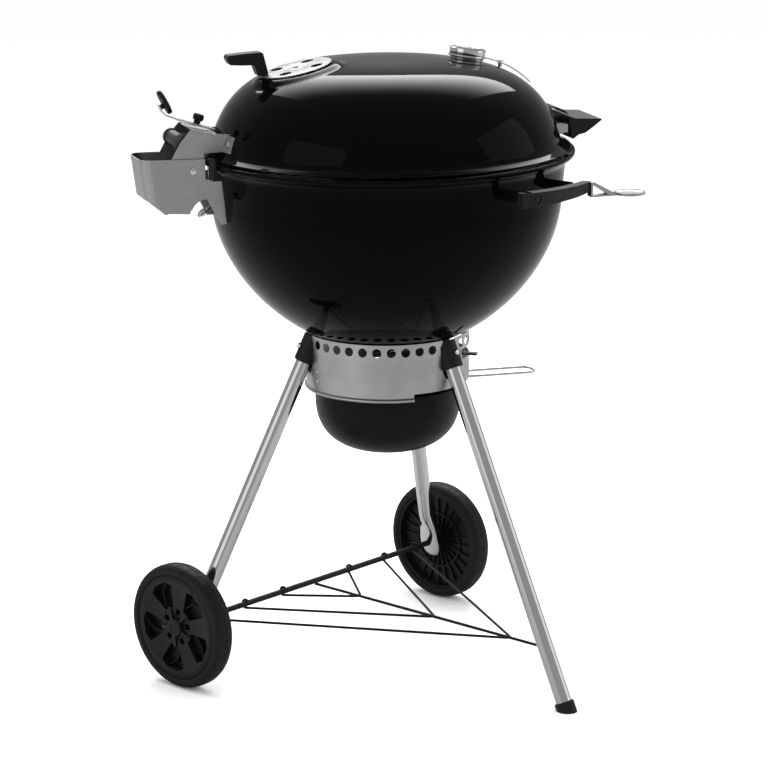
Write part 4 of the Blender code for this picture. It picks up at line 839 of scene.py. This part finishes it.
for half, depth in ((0.080, 0.100), (0.168, 0.262), (0.245, 0.423)):
    tip = rack_start + rack_way * depth
    a = rack_start - axle_way * half
    b = rack_start + axle_way * half
    first = curl(a, rack_way)
    last = curl(b, rack_way)[::-1]
    vee = [first[-1] + (tip - a).normalized() * 0.004, tip, last[0] + (tip - b).normalized() * 0.004]
    rod(rack, first + bent(vee, 0.012) + last, WIRE)
fitted("wire_shelf", rack, satin_paint, "wire_rack", crisp=60.0)

# ------------------------------------------------------------------------------------------------
# Vented band: a brushed stainless strip rolled into a ring, riveted at its seam. A row of round holes
# lets air in, its rear half is rolled at the foot, and its front is cut higher for the ash pail.
BAND_R, BAND_TOP, BAND_LOW, BAND_FRONT = 0.1305, 0.5575, 0.4655, 0.4775
band_line = [(BAND_R, BAND_TOP), (BAND_R, 0.532), (BAND_R, 0.500), (BAND_R, BAND_LOW + 0.0062),
             (BAND_R + 0.0014, BAND_LOW + 0.0052), (BAND_R + 0.0026, BAND_LOW + 0.0040),
             (BAND_R + 0.0028, BAND_LOW + 0.0022), (BAND_R + 0.0020, BAND_LOW + 0.0006), (BAND_R, BAND_LOW),
             (0.1173, BAND_LOW), (0.1173, BAND_LOW + 0.0012),
             (BAND_R - 0.0012, BAND_LOW + 0.0012), (BAND_R - 0.0012, 0.500), (BAND_R - 0.0012, 0.532),
             (BAND_R - 0.0012, BAND_TOP)]
band = fitted("air_band", disc_of(bmesh.new(), Matrix.Identity(4), band_line, 144), stainless, "ash_band")
holes = bmesh.new()
for i in range(36):
    out = polar(1.0, 10.0 * i + 5.0, 0.0)
    post(holes, along(polar(BAND_R, 10.0 * i + 5.0, 0.5450), out), 0.0072, -0.008, 0.008, 28)
carve(band, holes)
front = slab(bmesh.new(), [(-0.2, -0.2), (0.2, -0.2), (0.2, -0.0017), (-0.2, -0.0017)], 0.40, BAND_FRONT, "z")
carve(band, front)
for side, azimuth in LEG_AZIMUTH.items():
    up = (on_leg(azimuth, 1.0) - on_leg(azimuth, 0.0)).normalized()
    carve(band, post(bmesh.new(), along(on_leg(azimuth, 0.53), up), 0.0172, -0.06, 0.06, 40))
lever_slot = [-133.5 + 65.0 * i / 14.0 for i in range(15)]
slot_edge = [polar(0.120, a, 0.0) for a in lever_slot] + [polar(0.140, a, 0.0) for a in lever_slot[::-1]]
carve(band, slab(bmesh.new(), [(p.x, p.y) for p in slot_edge], 0.5175, 0.5335, "z"))
soften(band, 0.0002, 2)
SEAM = 104.0
rivets = bmesh.new()
for z in (0.4870, 0.5030):
    disc_of(rivets, along(polar(BAND_R, SEAM, z), polar(1.0, SEAM, 0.0)),
            [(0.0, 0.0014), (0.0014, 0.0012), (0.0024, 0.0006), (0.0027, -0.0004), (0.0, -0.0004)], 16)
fitted("band_rivets", rivets, plated, body="base", slot="wire")

# ------------------------------------------------------------------------------------------------
# Ash pail: a spun steel bowl painted black, hung by its flange on the band's ledge, with a bent wire
# pull spot welded to the flange.
pail_line = pressing(0.1165, 0.095, 2.7, 0.455, -1.0, 30)
pail_line += [(0.1165, 0.4669), (0.1170, 0.4672), (0.1195, 0.4672), (0.1205, 0.4678), (0.1203, 0.4688),
              (0.1160, 0.4690), (0.1152, 0.4680)]
pail_line += pressing(0.1150, 0.0935, 2.7, 0.455, -1.0, 30)[::-1]
pail_bm = disc_of(bmesh.new(), Matrix.Identity(4), pail_line, 120)
fitted("pail_bowl", pail_bm, satin_paint, "ash_pail", crisp=50.0)
PULL = [(-0.0165, -0.1236, 0.4702), (-0.0190, -0.1480, 0.4702), (-0.0190, -0.2462, 0.4688),
        (0.0190, -0.2462, 0.4688), (0.0190, -0.1480, 0.4702), (0.0165, -0.1236, 0.4702)]
bright_wire = finish("bright_wire", (0.60, 0.60, 0.61), (0.8, 0.8, 0.8), (0.12, 0.25), 1.0, 200.0, bump=0.05,
                     depth=0.0001, wear=0.2, dust=0.02, mottle=0.2)
fitted("pail_pull", rod(bmesh.new(), bent(PULL, 0.014), 0.0021, 14), bright_wire, "pail_handle", crisp=60.0)

# ------------------------------------------------------------------------------------------------
# Vent lever and ash sweeper: a plated flat lever under the bowl turns three blades inside it, over
# the air slots. The steel of the blades has gone dark with heat.
heat_steel = finish("heat_darkened_steel", (0.12, 0.115, 0.11), (0.35, 0.34, 0.33), (0.35, 0.60), 1.0,
                    40.0, bump=0.2, depth=0.0004, wear=0.5, dust=0.12, mottle=0.45)
painted("vent_lever", bright_wire, 0.0005)
painted("sweeper_blades", heat_steel)

# ------------------------------------------------------------------------------------------------
# Grates: plated rods welded to round hoops. The charcoal grate sits low in the bowl and carries two
# steel coal baskets; the cooking grate has a lift-out middle and a hinged flap at each side.
grate_wire = finish("grate_rod", (0.50, 0.50, 0.50), (0.7, 0.7, 0.7), (0.22, 0.42), 1.0, 120.0, bump=0.1,
                    depth=0.0002, wear=0.3, dust=0.06, mottle=0.4)


def hoop(bm, radius, z, wire, first=0.0, sweep=360.0, steps=96):
    """A ring of rod, or the part of one that starts at an azimuth and sweeps on."""
    full = sweep >= 360.0
    path = [polar(radius, first + sweep * i / steps, z) for i in range(steps if full else steps + 1)]
    return rod(bm, path, wire, 10, closed=full)


def grate(name, node, radius, z, wire, bars, spacing, open_middle=0.0):
    """A round grate of straight bars, with a hoop round its edge and round its open middle."""
    bm = bmesh.new()
    hoop(bm, radius - wire, z + wire, wire)
    if open_middle > 0.0:
        hoop(bm, open_middle - wire, z + wire, wire)
    for i in range(bars):
        x = spacing * (i - (bars - 1) / 2.0)
        end = math.sqrt((radius - wire) ** 2 - x * x)
        spans = [(-end, end)]
        if abs(x) < open_middle - wire:
            stop = math.sqrt((open_middle - wire) ** 2 - x * x)
            spans = [(-end, -stop), (stop, end)]
        for low, high in spans:
            rod(bm, [(x, low, z + wire), (x, high, z + wire)], wire * 0.8, 10)
    return fitted(name, bm, grate_wire, node, crisp=60.0)


grate("charcoal_rods", "charcoal_grate", 0.2200, 0.642, 0.0030, 11, 0.036)
grate("cooking_rods", "cooking_grate", 0.2810, 0.829, 0.0029, 19, 0.0195, 0.159)
grate("lift_out_rods", "grate_insert", 0.1520, 0.829, 0.0024, 15, 0.0195)
FLAP_HINGE = 0.190
reach, wire, z = 0.2640, 0.0024, 0.8390
for side, sign in (("left", -1.0), ("right", 1.0)):
    flap = bmesh.new()
    half = math.degrees(math.acos(FLAP_HINGE / reach))
    hoop(flap, reach - wire, z, wire, (0.0 if sign > 0.0 else 180.0) - half, 2.0 * half, 24)
    edge_y = math.sqrt((reach - wire) ** 2 - FLAP_HINGE ** 2)
    rod(flap, [(sign * FLAP_HINGE, -edge_y, z), (sign * FLAP_HINGE, edge_y, z)], wire, 10)
    for i in range(-5, 6):
        y = 0.028 * i
        rim_x = math.sqrt((reach - wire) ** 2 - y * y)
        rod(flap, [(sign * FLAP_HINGE, y, z), (sign * rim_x, y, z)], wire * 0.8, 10)
    fitted(f"flap_rods_{side}", flap, grate_wire, f"grate_flap_{side}", crisp=60.0)
    painted(f"fuel_basket_{side}", heat_steel, 0.0008)

# ------------------------------------------------------------------------------------------------
# Bowl grips: moulded nylon bows, deeper at the hinge end, where a notch hangs a tool. Each is screwed
# to an enamelled steel strap that stands it off the hot bowl.
GRIP_OUT = [(-0.083, 0.0020), (-0.060, 0.0095), (-0.030, 0.0150), (0.0, 0.0165), (0.030, 0.0150),
            (0.060, 0.0095), (0.083, 0.0015)]
GRIP_IN = [(0.0790, -0.0090), (0.0600, -0.0055), (0.0300, -0.0010), (0.0, 0.0005), (-0.0300, -0.0010),
           (-0.0600, -0.0055), (-0.0810, -0.0095)]
for side, azimuth in (("left", -148.5), ("right", -31.5)):
    outward = polar(1.0, azimuth, 0.0)
    forward = polar(1.0, azimuth + (90.0 if side == "left" else -90.0), 0.0)
    seat = Matrix((forward, outward, Vector((0.0, 0.0, 1.0)))).transposed().to_4x4()
    seat = Matrix.Translation(polar(0.338, azimuth, 0.812)) @ seat
    bow = bmesh.new()
    rows = []
    for front, back in zip(smooth_line(GRIP_OUT, 5), smooth_line(GRIP_IN, 5)[::-1]):
        tall = 0.0122 - 0.0044 * (front[0] + 0.083) / 0.166
        rows.append([bow.verts.new((*front, -tall * 0.96)), bow.verts.new((*front, tall * 0.96)),
                     bow.verts.new((*back, tall)), bow.verts.new((*back, -tall))])
    walled(bow, rows)
    bmesh.ops.transform(bow, matrix=seat, verts=bow.verts)
    grip = fitted(f"bowl_bow_{side}", bow, nylon, f"bowl_grip_{side}", crisp=30.0)
    notch = slab(bmesh.new(), [(-0.0760, -0.02), (-0.0640, -0.02), (-0.0640, 0.004), (-0.0700, 0.0065),
                               (-0.0760, 0.004)], 0.0015, 0.03, "z")
    bmesh.ops.transform(notch, matrix=seat, verts=notch.verts)
    carve(grip, notch)
    screw_seat = seat @ along((-0.058, 0.012, -0.0005), (-0.18, 1.0, 0.0))
    carve(grip, post(bmesh.new(), screw_seat, 0.0068, -0.0035, 0.02, 28))
    soften(grip, 0.0013)
    screw_head = [(0.0, -0.0016), (0.0040, -0.0020), (0.0055, -0.0032), (0.0055, -0.0040), (0.0, -0.0040)]
    screw = disc_of(bmesh.new(), screw_seat, screw_head, 24)
    fitted(f"grip_screw_{side}", screw, nylon, body="base", slot="nylon")
    painted(f"handle_strap_{side}", enamel, 0.0005)

# ------------------------------------------------------------------------------------------------
# Rest plate: a turned stainless disc with a raised rim, where a hot lid or tool is set down. It is
# carried by a pressed arm that hooks on the left grip.
plate_low, plate_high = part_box("rest_plate")
plate_at = Vector(((plate_low[0] + plate_high[0]) / 2.0, (plate_low[1] + plate_high[1]) / 2.0, 0.0)) - KETTLE
PLATE = [(0.0, 0.0), (0.0060, 0.0), (0.0068, -0.0007), (0.0080, 0.0), (0.0212, 0.0), (0.0222, 0.0004),
         (0.0228, 0.0013), (0.0240, 0.0015), (0.0245, 0.0008), (0.0244, -0.0022), (0.0238, -0.0025),
         (0.0, -0.0025)]
plate_bm = disc_of(bmesh.new(), Matrix.Translation((plate_at.x, plate_at.y, 0.7975)), PLATE, 96)
fitted("rest_disc", plate_bm, stainless, "rest_plate", crisp=30.0)
painted("plate_arm", stainless, 0.0006)

# ------------------------------------------------------------------------------------------------
# Hinge: a folded stainless housing clamped to the bowl's lip. In it a bracket on the lid turns on a
# plated pin against a dark coil spring; a black thumb knob and a sprung lever on the bar set it.
for node, material, rounding in (
        ("hinge_housing", stainless, 0.0004), ("lid_bracket", stainless, 0.0004),
        ("lock_bar", stainless, 0.0004), ("hinge_pin", plated, 0.0004), ("wing_screw", plated, 0.0003),
        ("spring_drum", heat_steel, 0.0006),
        ("release_lever", plated, 0.0005), ("rim_clamp_left", satin_paint, 0.0010),
        ("rim_clamp_right", satin_paint, 0.0010)):
    painted(node, material, rounding)
PIN_Y, PIN_Z, COIL_R = 0.323, 0.836, 0.0083
coil = []
for i in range(6 * 20 + 1):
    angle = 2.0 * math.pi * i / 20.0
    across = -0.024 + 0.048 * i / 120.0
    coil.append((across, PIN_Y + COIL_R * math.cos(angle), PIN_Z + COIL_R * math.sin(angle)))
fitted("counter_spring", rod(bmesh.new(), coil, 0.0013, 10), heat_steel, "hinge_spring", crisp=60.0)

BAR_FOOT, BAR_END = Vector((0.0, 0.2785, 0.8915)), Vector((0.0, 0.3400, 0.9110))
bar_way = (BAR_END - BAR_FOOT).normalized()
bar_up = Vector((0.0, -bar_way.z, bar_way.y))
KNOB_Y = 0.3050
bar_top = BAR_FOOT.z + (KNOB_Y - BAR_FOOT.y) * bar_way.z / bar_way.y + 0.0020
knob_foot = Vector((0.0, KNOB_Y, bar_top)) + bar_up * 0.0004
knob_seat = along(knob_foot, bar_up)
KNOB = [(0.0054, 0.0), (0.0060, 0.0045), (0.0080, 0.0058), (0.0085, 0.0085), (0.0084, 0.0125),
        (0.0070, 0.0148), (0.0030, 0.0152)]
knob = bmesh.new()
rings = []
for radius, height in smooth_line(KNOB, 4):
    ring = []
    for i in range(72):
        angle = 2.0 * math.pi * i / 72.0
        flute = 0.00045 * math.cos(12.0 * angle) if 0.0055 < height < 0.0145 else 0.0
        fluted = radius + flute - 0.0003
        ring.append(knob.verts.new((fluted * math.cos(angle), fluted * math.sin(angle), height)))
    rings.append(ring)
walled(knob, rings)
bmesh.ops.transform(knob, matrix=knob_seat, verts=knob.verts)
fitted("thumb_knob", knob, nylon, "tension_knob", crisp=50.0)

pad_way = Vector((0.0, 0.452, 0.892)).normalized()
pad_back = Vector((0.0, pad_way.z, -pad_way.y))
pad_seat = along(Vector((0.0, 0.3550, 0.9374)), pad_back)
pad_edge = [(0.0, 0.0020), (0.60, 0.0026), (0.88, 0.0036), (0.97, 0.0030), (1.0, 0.0010), (1.0, -0.0012),
            (0.97, -0.0032), (0.88, -0.0038), (0.60, -0.0030), (0.0, -0.0026)]
pad = spun(bmesh.new(), pad_edge, 64)
for vert in pad.verts:
    vert.co = Vector((vert.co.x * 0.0145, vert.co.y * 0.0200, vert.co.z))
bmesh.ops.transform(pad, matrix=pad_seat, verts=pad.verts)
post(pad, pad_seat @ Matrix.Translation((0.0, 0.004, 0.0)), 0.0040, 0.0018, 0.0092, 24)
fitted("thumb_pad", pad, nylon, "lever_pad", crisp=60.0)

BOLT_Z = 0.874
bolt_reach = LID_R * (1.0 - ((BOLT_Z - LID_BASE) / LID_RISE) ** LID_SQUARE) ** (1.0 / LID_SQUARE) + 0.0021
bolts = bmesh.new()
for azimuth in (90.0 - 10.8, 90.0 + 10.8):
    disc_of(bolts, along(polar(bolt_reach, azimuth, BOLT_Z), polar(1.0, azimuth, 0.12)),
            [(0.0, 0.0026), (0.0020, 0.0025), (0.0036, 0.0016), (0.0040, 0.0002), (0.0, 0.0)], 24)
fitted("bracket_bolts", bolts, plated, body="lid", slot="wire")
